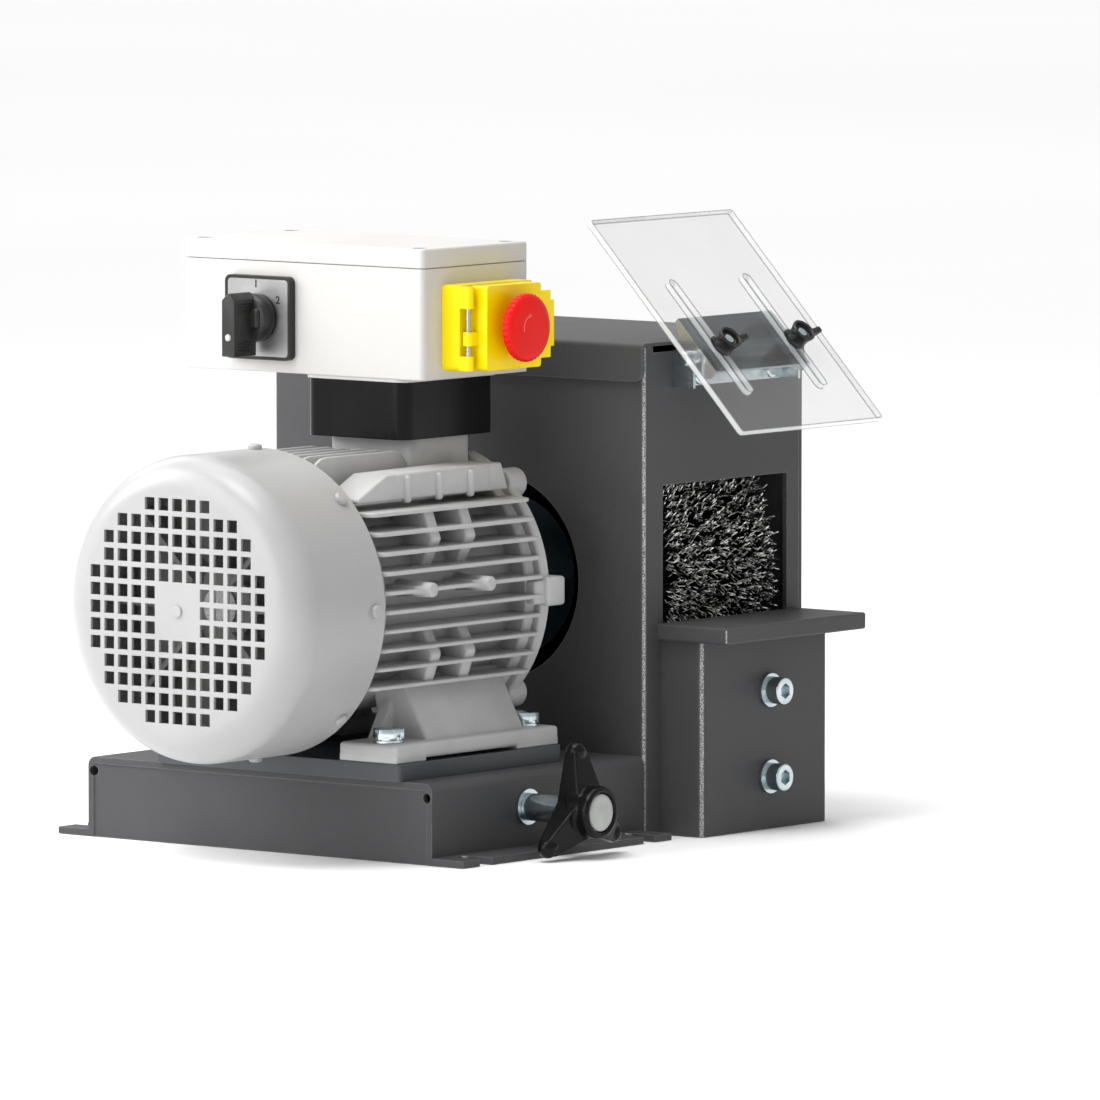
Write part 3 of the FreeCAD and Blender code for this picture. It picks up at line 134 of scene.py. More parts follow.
# ---- finishes ----
class Finish:
    """A material under construction: its nodes read the piece's own coordinates."""

    def __init__(self, name):
        self.material = bpy.data.materials.new(name)
        self.material.use_nodes = True
        self.tree = self.material.node_tree
        self.tree.nodes.clear()
        self.shader = self.add("ShaderNodeBsdfPrincipled")
        output = self.add("ShaderNodeOutputMaterial")
        self.join(self.shader.outputs["BSDF"], output.inputs["Surface"])
        self.place = self.add("ShaderNodeTexCoord").outputs["Object"]

    def add(self, kind, **settings):
        node = self.tree.nodes.new(kind)
        for key, value in settings.items():
            setattr(node, key, value)
        return node

    def join(self, out, into):
        self.tree.links.new(out, into)

    def set(self, **values):
        for key, value in values.items():
            self.shader.inputs[key.replace("_", " ")].default_value = value

    def noise(self, scale, detail=3.0, stretch=None):
        """Cloudy pattern, stretched along an axis when asked."""
        place = self.place
        if stretch:
            mapping = self.add("ShaderNodeMapping")
            mapping.inputs["Scale"].default_value = stretch
            self.join(place, mapping.inputs["Vector"])
            place = mapping.outputs["Vector"]
        node = self.add("ShaderNodeTexNoise")
        node.inputs["Scale"].default_value = scale
        node.inputs["Detail"].default_value = detail
        self.join(place, node.inputs["Vector"])
        return node.outputs["Fac"]

    def between(self, value, low, high, to_low=0.0, to_high=1.0):
        node = self.add("ShaderNodeMapRange")
        for key, number in (("From Min", low), ("From Max", high), ("To Min", to_low), ("To Max", to_high)):
            node.inputs[key].default_value = number
        self.join(value, node.inputs["Value"])
        return node.outputs["Result"]

    def times(self, first, second):
        node = self.add("ShaderNodeMath", operation="MULTIPLY")
        self.join(first, node.inputs[0])
        self.join(second, node.inputs[1])
        return node.outputs["Value"]

    def blend(self, share, first, second):
        """Mix two colours; either may be a fixed colour or another node's output."""
        node = self.add("ShaderNodeMix", data_type="RGBA")
        self.join(share, node.inputs[0])
        for socket, colour in ((node.inputs[6], first), (node.inputs[7], second)):
            if isinstance(colour, tuple):
                socket.default_value = (*colour, 1)
            else:
                self.join(colour, socket)
        return node.outputs[2]

    def level(self, share, first, second):
        """Mix two numbers, the first a node's output or a fixed number."""
        node = self.add("ShaderNodeMix", data_type="FLOAT")
        self.join(share, node.inputs[0])
        for socket, number in ((node.inputs[2], first), (node.inputs[3], second)):
            if isinstance(number, (int, float)):
                socket.default_value = number
            else:
                self.join(number, socket)
        return node.outputs[0]

    def facing(self, direction, low, high):
        """1 where the piece's surface faces a direction."""
        dot = self.add("ShaderNodeVectorMath", operation="DOT_PRODUCT")
        self.join(self.add("ShaderNodeTexCoord").outputs["Normal"], dot.inputs[0])
        dot.inputs[1].default_value = direction
        return self.between(dot.outputs["Value"], low, high)

    def edges(self, width, low=0.02, high=0.2):
        """1 on a sharp edge of the piece and 0 on its flats."""
        bevel = self.add("ShaderNodeBevel", samples=6)
        bevel.inputs["Radius"].default_value = width
        flat = self.add("ShaderNodeNewGeometry").outputs["Normal"]
        dot = self.add("ShaderNodeVectorMath", operation="DOT_PRODUCT")
        self.join(bevel.outputs["Normal"], dot.inputs[0])
        self.join(flat, dot.inputs[1])
        turned_away = self.add("ShaderNodeMath", operation="SUBTRACT")
        turned_away.inputs[0].default_value = 1.0
        self.join(dot.outputs["Value"], turned_away.inputs[1])
        return self.between(turned_away.outputs["Value"], low, high)

    def relief(self, height, depth, edge=0.0):
        """Bump from a height, on edges softened by a small radius."""
        bump = self.add("ShaderNodeBump")
        bump.inputs["Strength"].default_value = 1.0
        bump.inputs["Distance"].default_value = depth
        self.join(height, bump.inputs["Height"])
        if edge:
            bevel = self.add("ShaderNodeBevel", samples=4)
            bevel.inputs["Radius"].default_value = edge
            self.join(bevel.outputs["Normal"], bump.inputs["Normal"])
        self.join(bump.outputs["Normal"], self.shader.inputs["Normal"])


# Light grey of the painted highlight along bent corners of sheet.
BEND_HIGHLIGHT_GREY = (0.55, 0.55, 0.55)


def coated(name, dark, light, patch=30, rough=(0.4, 0.5), grain=(900, 0.00002), edge=0.0005,
           edge_wear_and_highlight=None, wear_and_highlight_width=0.001, wear_and_highlight_most=0.8, grain_tint=0.0, bend=None, **fixed):
    """Paint or moulded plastic: two close shades, uneven gloss, a fine grain, lighter edges that are partly
    wear and partly painted highlight, and a painted highlight along a bend when asked.
    """
    finish = Finish(name)
    clouds = finish.noise(patch)
    colour = finish.blend(finish.between(clouds, 0.35, 0.65), dark, light)
    shine = finish.between(clouds, 0.3, 0.7, rough[0], rough[1])
    fine = finish.noise(grain[0], 2.0)
    if grain_tint:
        speck = tuple(min(1.0, c * (1 + grain_tint) + 0.02 * grain_tint) for c in light)
        colour = finish.blend(finish.between(fine, 0.5, 0.75), colour, speck)
    # Lighter colour along sharp edges: partly paint wear, partly painted highlight on the edges.
    if edge_wear_and_highlight:
        wear_and_highlight_band = finish.times(finish.edges(wear_and_highlight_width),
                              finish.between(finish.noise(160), 0.3, 0.55, 0.25, wear_and_highlight_most))
        colour = finish.blend(wear_and_highlight_band, colour, edge_wear_and_highlight)
        shine = finish.level(wear_and_highlight_band, shine, 0.3)
    # Painted highlight: a light grey streak where the surface faces the bend direction, for the light caught
    # along the bent corner of the sheet.
    if bend:
        bend_highlight = finish.times(finish.facing(bend, 0.93, 0.985),
                            finish.between(finish.noise(1500, 6.0), 0.42, 0.60))
        colour = finish.blend(bend_highlight, colour, BEND_HIGHLIGHT_GREY)
    finish.join(colour, finish.shader.inputs["Base Color"])
    finish.join(shine, finish.shader.inputs["Roughness"])
    finish.relief(fine, grain[1], edge)
    finish.set(**fixed)
    return finish.material


def metal(name, dark, light, rough=(0.2, 0.35), patch=60, lines=None, depth=0.000006, edge=0.0003):
    """Bare or plated metal with tool marks along one axis when asked."""
    finish = Finish(name)
    clouds = finish.noise(patch)
    colour = finish.blend(finish.between(clouds, 0.35, 0.65), dark, light)
    marks = finish.noise(700, 2.0, lines)
    finish.join(colour, finish.shader.inputs["Base Color"])
    finish.join(finish.between(marks, 0.3, 0.7, rough[0], rough[1]), finish.shader.inputs["Roughness"])
    finish.relief(marks, depth, edge)
    finish.set(Metallic=1.0)
    return finish.material


# The powder coat carries the painted highlight along its front-left bends.
POWDER = coated("anthracite_powder_coat", (0.056, 0.056, 0.0585), (0.064, 0.064, 0.067), 14, (0.46, 0.54),
                (1300, 0.00004), 0.0008, (0.26, 0.26, 0.26), 0.0011, 0.5, 0.1, (-0.707, -0.707, 0),
                Specular_IOR_Level=0.22)
PLATE_PAINT = coated("dark_plate_paint", (0.036, 0.040, 0.047), (0.044, 0.049, 0.057), 25, (0.38, 0.48),
                     (700, 0.00002), 0.0009, (0.4, 0.41, 0.43), 0.0006, 0.35)
CASTING = coated("motor_casting_paint", (0.40, 0.40, 0.40), (0.45, 0.45, 0.45), 40, (0.36, 0.46),
                 (420, 0.00005), 0.0012, (0.56, 0.56, 0.56), 0.0012, 0.3)
COVER_PAINT = coated("fan_cover_paint", (0.345, 0.345, 0.345), (0.37, 0.37, 0.37), 16, (0.28, 0.36),
                     (350, 0.00002), 0.0006, (0.58, 0.58, 0.58), 0.0008, 0.25)
OFF_WHITE = coated("off_white_plastic", (0.535, 0.522, 0.51), (0.555, 0.542, 0.53), 12, (0.44, 0.5),
                   (1300, 0.00002), 0.0012, Specular_IOR_Level=0.3)
BLACK_GLOSS = coated("black_gloss_plastic", (0.0035, 0.0035, 0.0035), (0.006, 0.006, 0.006), 20, (0.16, 0.24),
                     (300, 0.00001), 0.0012, Specular_IOR_Level=0.16)
BLACK_SATIN = coated("black_satin_plastic", (0.010, 0.0095, 0.009), (0.014, 0.0135, 0.013), 20, (0.3, 0.4),
                     (900, 0.000015), 0.0006, Specular_IOR_Level=0.4)
YELLOW = coated("yellow_plastic", (0.86, 0.66, 0.0), (0.93, 0.74, 0.003), 15, (0.22, 0.32),
                (700, 0.00001), 0.0008, Specular_IOR_Level=0.25)
RED = coated("red_plastic", (0.66, 0.006, 0.004), (0.74, 0.009, 0.006), 20, (0.24, 0.34),
             (700, 0.00001), 0.0008, Specular_IOR_Level=0.15)
RED_MARK = coated("red_plastic_mark", (0.7, 0.10, 0.08), (0.76, 0.14, 0.11), 20, (0.3, 0.4),
                  (700, 0.00001), 0)
GREEN = coated("green_plastic", (0.01, 0.25, 0.05), (0.02, 0.32, 0.07), 20, (0.24, 0.34),
               (700, 0.00001), 0.0006)
GREY_CAP = coated("dark_grey_plastic", (0.36, 0.37, 0.36), (0.44, 0.45, 0.44), 90, (0.4, 0.5),
                  (1100, 0.00002), 0.0005)
FAN_PLASTIC = coated("fan_plastic", (0.20, 0.20, 0.19), (0.26, 0.26, 0.25), 30, (0.45, 0.55),
                     (600, 0.00002), 0.0006)
HUB_PAINT = coated("black_hub_paint", (0.004, 0.004, 0.004), (0.008, 0.008, 0.008), 30, (0.5, 0.6),
                   (600, 0.00003), 0.0006, Specular_IOR_Level=0.2)
WINDING = coated("copper_winding", (0.30, 0.10, 0.03), (0.42, 0.16, 0.06), 200, (0.3, 0.45),
                 (500, 0.0002), 0.001)
CORE_STEEL = metal("core_steel", (0.22, 0.22, 0.23), (0.3, 0.3, 0.31), (0.4, 0.5), 80,
                   (1.0, 0.05, 0.05), 0.00003)
ZINC = metal("bright_zinc", (0.46, 0.55, 0.58), (0.62, 0.68, 0.70), (0.14, 0.26), 90, None, 0.00001)
# Painted shade: zinc darkened to near black, with a blue-green tint, for the brush's inner flange that sits
# in shade inside the hole in the housing.
ZINC_IN_PAINTED_SHADE = metal("zinc_in_painted_shade", (0.03, 0.05, 0.06), (0.05, 0.075, 0.085), (0.14, 0.22), 12, None, 0.000004)
STEEL = metal("plain_steel", (0.42, 0.42, 0.42), (0.52, 0.52, 0.52), (0.22, 0.36), 50, (0.1, 1.0, 1.0))
BRUSHED = metal("brushed_aluminium", (0.31, 0.31, 0.31), (0.37, 0.37, 0.37), (0.34, 0.42), 40,
                (1.0, 0.06, 1.6), 0.000008)


def zinc_painted_reflection(name):
    """Zinc plate with painted reflection: its mirror faces painted dark, and the flange at its left end,
    facing -X, painted near white as a painted highlight.
    """
    finish = Finish(name)
    # Painted highlight: surfaces facing -X are painted near white.
    flange = finish.facing((-1, 0, 0), 0.6, 0.9)
    clouds = finish.between(finish.noise(30), 0.35, 0.65)
    face = finish.blend(clouds, (0.11, 0.135, 0.15), (0.16, 0.19, 0.205))
    finish.join(finish.blend(flange, face, (0.82, 0.83, 0.83)), finish.shader.inputs["Base Color"])
    marks = finish.noise(700, 2.0, (0.1, 1.0, 1.0))
    finish.join(finish.between(marks, 0.3, 0.7, 0.2, 0.26), finish.shader.inputs["Roughness"])
    finish.set(Metallic=1.0)
    return finish.material


PAINTED_SHADE_LINE = (0.0046, 0.0032)    # band where the painted shade on the shaft gives way to the painted glints at the tip, in metres below the wire tips


def bristle_wire(name, low, high):
    """Steel wire: near black along its shaft as painted shade, and bright at its tip as painted glints."""
    finish = Finish(name)
    from_axis = finish.add("ShaderNodeVectorMath", operation="SUBTRACT")
    finish.join(finish.place, from_axis.inputs[0])
    middle = (low + high) / 2
    from_axis.inputs[1].default_value = BENCH @ middle
    across = finish.add("ShaderNodeVectorMath", operation="MULTIPLY")
    finish.join(from_axis.outputs["Vector"], across.inputs[0])
    across.inputs[1].default_value = (0, 1, 1)
    reach = finish.add("ShaderNodeVectorMath", operation="LENGTH")
    finish.join(across.outputs["Vector"], reach.inputs[0])
    outer = (high.z - low.z) / 2 * MM
    # Painted shade and glints: below the tip band the wire is near black for the shade deep in the brush; in
    # the band, patches of near white stand for glints.
    tip = finish.between(reach.outputs["Value"], outer - PAINTED_SHADE_LINE[0], outer - PAINTED_SHADE_LINE[1])
    spread = finish.between(finish.noise(420, 2.0), 0.42, 0.56)
    bright = finish.blend(spread, (0.06, 0.055, 0.05), (0.98, 0.97, 0.95))
    finish.join(finish.blend(tip, (0.004, 0.004, 0.004), bright), finish.shader.inputs["Base Color"])
    finish.join(finish.level(tip, 0.6, 0.35), finish.shader.inputs["Roughness"])
    finish.join(finish.level(tip, 0.0, 0.55), finish.shader.inputs["Metallic"])
    finish.relief(spread, 0.00001)
    finish.set(Specular_IOR_Level=0.2)
    return finish.material


ZINC_PAINTED_REFLECTION = zinc_painted_reflection("zinc_painted_reflection")
WIRE = bristle_wire("bristle_wire", *span("brush_bristles"))


def clear_sheet(name, normal):
    """Clear plastic sheet: clear through its faces and white at its sawn edges, with a dark line painted
    along its edges as painted shade for refraction.
    """
    finish = Finish(name)
    facing = finish.add("ShaderNodeVectorMath", operation="DOT_PRODUCT")
    finish.join(finish.add("ShaderNodeTexCoord").outputs["Normal"], facing.inputs[0])
    facing.inputs[1].default_value = normal
    size = finish.add("ShaderNodeMath", operation="ABSOLUTE")
    finish.join(facing.outputs["Value"], size.inputs[0])
    rim = finish.between(size.outputs["Value"], 0.75, 0.5)
    haze = finish.between(finish.noise(25), 0.3, 0.7, 0.12, 0.15)
    # Painted shade: a near-black line along the panel's edges stands in for the dark refraction seen at the
    # edges of clear sheet.
    outline = finish.edges(0.0014, 0.01, 0.06)
    finish.join(finish.level(outline, finish.level(rim, haze, 0.6), 0.85), finish.shader.inputs["Alpha"])
    body = finish.blend(rim, (0.40, 0.395, 0.39), (0.93, 0.95, 0.95))
    finish.join(finish.blend(outline, body, (0.12, 0.125, 0.125)), finish.shader.inputs["Base Color"])
    scuffs = finish.noise(500, 2.0, (1.0, 0.2, 0.2))
    finish.join(finish.between(scuffs, 0.3, 0.7, 0.03, 0.07), finish.shader.inputs["Roughness"])
    finish.set(IOR=1.58)
    return finish.material


corner_high = span("shield_panel")[1]
SLOPE = math.radians(46.4)
SLOPE_DOWN = Vector((0, -math.cos(SLOPE), -math.sin(SLOPE)))
SLOPE_OUT = Vector((0, -math.sin(SLOPE), math.cos(SLOPE)))
CLEAR = clear_sheet("clear_panel", SLOPE_OUT)

FLOOR_PAINT = coated("studio_floor", (0.92, 0.92, 0.92), (0.94, 0.94, 0.94), 0.4, (0.6, 0.7),
                     (30, 0.00001), 0)
floor_mesh.materials.append(FLOOR_PAINT)

FINISH_OF_SLOT = {
    "anthracite_powder_coat": POWDER,
    "dark_plate_paint": PLATE_PAINT,
    "motor_casting_paint": CASTING,
    "fan_cover_paint": COVER_PAINT,
    "off_white_plastic": OFF_WHITE,
    "black_gloss_plastic": BLACK_GLOSS,
    "black_satin_plastic": BLACK_SATIN,
    "yellow_plastic": YELLOW,
    "red_plastic": RED,
    "green_plastic": GREEN,
    "dark_grey_plastic": GREY_CAP,
    "fan_plastic": FAN_PLASTIC,
    "brushed_aluminium": BRUSHED,
    "clear_panel": CLEAR,
    "bristle_wire": WIRE,
    "black_hub_paint": HUB_PAINT,
    "copper_winding": WINDING,
    "core_steel": CORE_STEEL,
    "bright_zinc": ZINC,
    "plain_steel": STEEL,
}
SLOT_OF_NODE = {row["node"]: row["material_slot"] for row in frame["record"]["subparts"]}
FINISH_OF_NODE = {
    # The tilt plate gets zinc with painted reflection.
    "tilt_plate": ZINC_PAINTED_REFLECTION,
    # The brush's inner flange gets zinc in painted shade.
    "brush_inner_flange": ZINC_IN_PAINTED_SHADE,
}
for node_name, node in nodes.items():
    node.data.materials.clear()
    node.data.materials.append(FINISH_OF_NODE.get(node_name, FINISH_OF_SLOT[SLOT_OF_NODE[node_name]]))


# ---- shape makers, in millimetres ----
def pour(target, source, turn=None):
    """Move one finished shape into another, through a transform when asked."""
    mesh = bpy.data.meshes.new("working")
    source.to_mesh(mesh)
    source.free()
    if turn:
        mesh.transform(turn)
    target.from_mesh(mesh)
    bpy.data.meshes.remove(mesh)


def rounded(bm, width, steps=2, least=30):
    """Round every edge sharper than an angle."""
    sharp = [e for e in bm.edges if len(e.link_faces) == 2 and e.calc_face_angle(0) > math.radians(least)]
    bmesh.ops.bevel(bm, geom=sharp, offset=width, offset_type="OFFSET", segments=steps,
                    affect="EDGES", profile=0.5, material=-1, clamp_overlap=True)
    return bm


def box_shape(low, high, edge=0.5, steps=2):
    bm = bmesh.new()
    bmesh.ops.create_cube(bm, size=1.0)
    low, high = Vector(low), Vector(high)
    bmesh.ops.scale(bm, vec=high - low, verts=bm.verts)
    bmesh.ops.translate(bm, vec=(low + high) / 2, verts=bm.verts)
    return rounded(bm, edge, steps) if edge else bm


def rod_shape(radius, height, edge=0.5, steps=2, sides=48, tip_radius=None):
    """An upright round bar from the origin, tapering when a tip radius is given."""
    bm = bmesh.new()
    top = radius if tip_radius is None else tip_radius
    bmesh.ops.create_cone(bm, cap_ends=True, segments=sides, radius1=radius, radius2=top, depth=height)
    bmesh.ops.translate(bm, vec=(0, 0, height / 2), verts=bm.verts)
    return rounded(bm, edge, steps, 50) if edge else bm


def turned(profile, steps=64, closed=False):
    """A turned shape about Z through points of radius and height."""
    bm = bmesh.new()
    verts = [bm.verts.new((radius, 0, height)) for radius, height in profile]
    pairs = list(zip(verts, verts[1:]))
    if closed:
        pairs.append((verts[-1], verts[0]))
    lines = [bm.edges.new(pair) for pair in pairs]
    bmesh.ops.spin(bm, geom=verts + lines, cent=(0, 0, 0), axis=(0, 0, 1), dvec=(0, 0, 0),
                   angle=TURN, steps=steps, use_merge=True, use_duplicate=False)
    bmesh.ops.remove_doubles(bm, verts=bm.verts, dist=1e-4)
    bmesh.ops.recalc_face_normals(bm, faces=bm.faces)
    return bm


def plate_shape(outline, thick, edge=0.3, steps=2, least=30):
    """A flat plate in the XY plane with an outline of points, standing up along Z."""
    bm = bmesh.new()
    face = bm.faces.new([bm.verts.new((x, y, 0)) for x, y in outline])
    grown = bmesh.ops.extrude_face_region(bm, geom=[face])
    lifted = [item for item in grown["geom"] if isinstance(item, bmesh.types.BMVert)]
    bmesh.ops.translate(bm, vec=(0, 0, thick), verts=lifted)
    bmesh.ops.recalc_face_normals(bm, faces=bm.faces)
    return rounded(bm, edge, steps, least) if edge else bm


def stand(x, y, z, up=(0, 0, 1), spin=0.0):
    """Turns a shape's own Z to a direction and sets it at a working place."""
    turn = Vector(up).to_track_quat("Z", "Y").to_matrix().to_4x4()
    return Matrix.Translation((x, y, z)) @ turn @ Matrix.Rotation(spin, 4, "Z")


def slope_place(x, along, off=0.0):
    """A working place on the clear panel: along runs down the slope, off stands out of it."""
    top = Vector((x, SHIELD_TOP.y, SHIELD_TOP.z))
    return top + SLOPE_DOWN * along + SLOPE_OUT * off


SHIELD_TOP = Vector((0, corner_high.y - 4 * math.sin(SLOPE), corner_high.z))


def piece(name, bm, body, slot, replaced=(), smooth_below=40, melt=0.0, soften=6, finish=None):
    """Finish a shape: shading, place, body, slot, and the CAD nodes that it stands for."""
    for face in bm.faces:
        face.smooth = True
    for edge in bm.edges:
        edge.smooth = not (len(edge.link_faces) == 2 and edge.calc_face_angle(0) > math.radians(smooth_below))
    mesh = bpy.data.meshes.new(name)
    bm.to_mesh(mesh)
    bm.free()
    mesh.transform(BENCH)
    made = bpy.data.objects.new(name, mesh)
    bpy.context.scene.collection.objects.link(made)
    mesh.materials.append(finish or FINISH_OF_SLOT[slot])
    if melt:
        remesh = made.modifiers.new("melt", "REMESH")
        remesh.mode = "VOXEL"
        remesh.voxel_size = melt * MM
        remesh.use_smooth_shade = True
        smooth = made.modifiers.new("soften", "SMOOTH")
        smooth.factor = 0.5
        smooth.iterations = soften
    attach(made, body)
    if replaced:
        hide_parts(*replaced)
    return made


# ---- brush ----
BRUSH_SEED = 7
WIRE_R = 0.36
WIRES_PER_SECTOR = 540
SECTORS = 24
BRISTLE_SETS = 3
WIRE_ROOT = 44.0
TIP_GAP = 0.4
CRIMP = 0.9
TIP_HOOK = 2.3
STEP_LENGTHS = (0.25, 0.25, 0.24, 0.205, 0.055)


def one_wire(root, tip):
    """A crimped three-sided wire along Z from root to tip radius."""
    bm = bmesh.new()
    ring = bmesh.ops.create_circle(bm, cap_ends=False, segments=3, radius=WIRE_R)
    bmesh.ops.translate(bm, vec=(0, 0, root), verts=ring["verts"])
    rim = list(bm.edges)
    bends = len(STEP_LENGTHS)
    for k in range(bends):
        grown = bmesh.ops.extrude_edge_only(bm, edges=rim)
        rim = [item for item in grown["geom"] if isinstance(item, bmesh.types.BMEdge)]
        verts = [item for item in grown["geom"] if isinstance(item, bmesh.types.BMVert)]
        sway = CRIMP if k % 2 else -CRIMP
        if k == bends - 1:
            sway = TIP_HOOK
        bmesh.ops.translate(bm, vec=(sway, 0, STEP_LENGTHS[k] * (tip - root)), verts=verts)
    bmesh.ops.contextual_create(bm, geom=rim)
    bmesh.ops.recalc_face_normals(bm, faces=bm.faces)
    return bm


def bristle_set(index):
    """One third of the wires: every third sector of the brush, all round."""
    low, high = span("brush_bristles")
    tip = (high.z - low.z) / 2
    dice = random.Random(BRUSH_SEED + index)
    sector = TURN / SECTORS
    wire = one_wire(WIRE_ROOT, tip - TIP_GAP)
    pattern = bpy.data.meshes.new("wire_pattern")
    wire.to_mesh(pattern)
    wire.free()
    patch = bmesh.new()
    for _ in range(WIRES_PER_SECTOR):
        start = len(patch.verts)
        patch.from_mesh(pattern)
        patch.verts.ensure_lookup_table()
        verts = patch.verts[start:]
        along = dice.uniform(low.x + 1.0, high.x - 1.0)
        angle = (index + dice.random()) * sector
        lean = Matrix.Rotation(dice.gauss(0, 0.02), 4, "X") @ Matrix.Rotation(dice.gauss(0, 0.018), 4, "Y")
        shorten = Matrix.Scale(1 - abs(dice.gauss(0, 0.006)), 4)
        roll = Matrix.Rotation(dice.uniform(0, TURN), 4, "Z")
        place = Matrix.Translation((along, 0, AXIS_Z)) @ Matrix.Rotation(angle, 4, "X")
        place = place @ lean @ shorten @ roll
        bmesh.ops.transform(patch, matrix=place, verts=verts)
    bpy.data.meshes.remove(pattern)
    bmesh.ops.spin(patch, geom=patch.verts[:] + patch.edges[:] + patch.faces[:], cent=(0, 0, AXIS_Z),
                   axis=(1, 0, 0), dvec=(0, 0, 0), angle=TURN - sector * BRISTLE_SETS,
                   steps=SECTORS // BRISTLE_SETS - 1, use_duplicate=True, use_merge=False)
    return patch


for set_index, set_name in enumerate(("bristles_first", "bristles_second", "bristles_third")):
    piece(set_name, bristle_set(set_index), "rotor", "bristle_wire", ("brush_bristles",), 80)

# ---- feed knob ----
screw_low, screw_high = span("feed_spindle")
KNOB_X = (screw_low.x + screw_high.x) / 2
KNOB_Z = (screw_low.z + screw_high.z) / 2
KNOB_ARMS = (94, 214, 334)
ARM_DROP = -0.07
ARM_LENGTH = 32.0
RING_BASE = 154.0


def star_knob():
    """Three ridged arms that run down from a raised ring to rounded tips."""
    bm = bmesh.new()
    toward = Matrix.Translation((KNOB_X, 0, KNOB_Z)) @ Matrix.Rotation(math.pi / 2, 4, "X")
    for degrees in KNOB_ARMS:
        arm = math.radians(degrees)
        out = Vector((math.cos(arm), math.sin(arm), ARM_DROP))
        root = out * 3.0 + Vector((0, 0, 150.0))
        flatter = Matrix.Diagonal((1.0, 0.7, 1.0, 1.0)) @ Matrix.Rotation(math.pi / 4, 4, "Z")
        pour(bm, rod_shape(18.0, ARM_LENGTH, 0, 1, 4, 8.0), toward @ stand(*root, up=out) @ flatter)
        ball = bmesh.new()
        bmesh.ops.create_icosphere(ball, subdivisions=3, radius=5.9)
        pour(bm, ball, toward @ Matrix.Translation(root + out * 31.6))
    pour(bm, rod_shape(11.0, 12.0, 1.0, 2, 64, 16.0), toward @ Matrix.Translation((0, 0, 139.9)))
    pour(bm, rod_shape(16.0, 12.0, 2.5, 3, 64, 15.2), toward @ Matrix.Translation((0, 0, 148.0)))
    ring = [(10.9, 0), (15.0, 0), (15.4, 9.0), (14.8, 10.7), (13.2, 11.4), (12.0, 11.2), (11.4, 9.8),
            (10.9, 9.4)]
    pour(bm, turned(ring, 72, True), toward @ Matrix.Translation((0, 0, RING_BASE)))
    pour(bm, rod_shape(11.4, 8.4, 0, 2, 64), toward @ Matrix.Translation((0, 0, RING_BASE)))
    return bm


piece("star_grip", star_knob(), "spindle", "black_gloss_plastic", ("star_knob",), melt=0.55, soften=7)


def knob_disc():
    """Cover disc in the middle of the grip, slightly domed."""
    bm = bmesh.new()
    profile = [(0, 2.7), (4, 2.62), (8, 2.4), (10.2, 2.0), (10.8, 1.3), (10.8, 0), (0, 0)]
    toward = Matrix.Translation((KNOB_X, 0, KNOB_Z)) @ Matrix.Rotation(math.pi / 2, 4, "X")
    pour(bm, turned(profile, 72), toward @ Matrix.Translation((0, 0, 162.7)))
    return bm


piece("grip_disc", knob_disc(), "spindle", "dark_grey_plastic", ("knob_cap",))

# ---- wing nuts ----
CLAMP_ALONG = 102.0
WING_THICK = 3.8


def wing_nut(node):
    """A cupped hub with two flat wings whose tips rise."""
    low, high = span(node)
    bm = bmesh.new()
    hub = [(3.2, 0), (6.4, 0), (6.6, 1.0), (6.1, 3.0), (6.4, 6.0), (7.5, 9.0), (7.6, 10.2), (6.9, 10.8),
           (5.9, 10.2), (5.3, 7.4), (3.2, 6.8)]
    pour(bm, turned(hub, 56, True))
    half = [(4.5, 3.0), (9.0, 3.6), (13.6, 5.0), (16.6, 7.6), (16.8, 9.8), (15.2, 10.6), (11.0, 8.9),
            (6.2, 8.6)]
    for side in (-1, 1):
        outline = [(side * x, y) for x, y in half]
        wing = Matrix.Rotation(math.pi / 2, 4, "X") @ Matrix.Translation((0, 0, -WING_THICK / 2))
        pour(bm, plate_shape(outline, WING_THICK, 1.0, 3), wing)
    middle = slope_place((low.x + high.x) / 2, CLAMP_ALONG, 0.4)
    bmesh.ops.transform(bm, matrix=stand(*middle, up=SLOPE_OUT), verts=bm.verts)
    return bm


for wing_name, wing_node in (("left_wing", "wing_nut_left"), ("right_wing", "wing_nut_right")):
    wing_body = "left_wing_nut" if wing_node == "wing_nut_left" else "right_wing_nut"
    piece(wing_name, wing_nut(wing_node), wing_body, "black_satin_plastic", (wing_node,), melt=0.3, soften=3)

# ---- stop mushroom ----
mushroom_low, mushroom_high = span("estop_button")
STOP_X = (mushroom_low.x + mushroom_high.x) / 2
STOP_Z = (mushroom_low.z + mushroom_high.z) / 2
MUSHROOM_R = (mushroom_high.x - mushroom_low.x) / 2
RIM_NOTCHES = 36
STEM_R = 7.5
HEAD_DEPTH = 7.0


def mushroom():
    """Domed head with a grooved rim on a stem."""
    bm = bmesh.new()
    face = mushroom_low.y
    stem_end = HEAD_DEPTH - (mushroom_high.y - mushroom_low.y)
    toward = Matrix.Translation((STOP_X, 0, STOP_Z)) @ Matrix.Rotation(math.pi / 2, 4, "X")
    profile = [(0, HEAD_DEPTH), (9.0, 6.8), (15.0, 6.35), (17.6, 5.9), (18.9, 5.2), (19.5, 4.2), (19.6, 0.9),
               (18.8, 0), (STEM_R, 0), (STEM_R, stem_end), (0, stem_end)]
    back_of_head = toward @ Matrix.Translation((0, 0, -face - HEAD_DEPTH))
    pour(bm, turned(profile, 96), back_of_head)
    for k in range(RIM_NOTCHES):
        angle = TURN * k / RIM_NOTCHES
        circle = MUSHROOM_R - 0.75
        grip = Matrix.Translation((circle * math.cos(angle), circle * math.sin(angle), 0.8))
        pour(bm, rod_shape(0.72, 3.6, 0.25, 1, 10), back_of_head @ grip)
    return bm


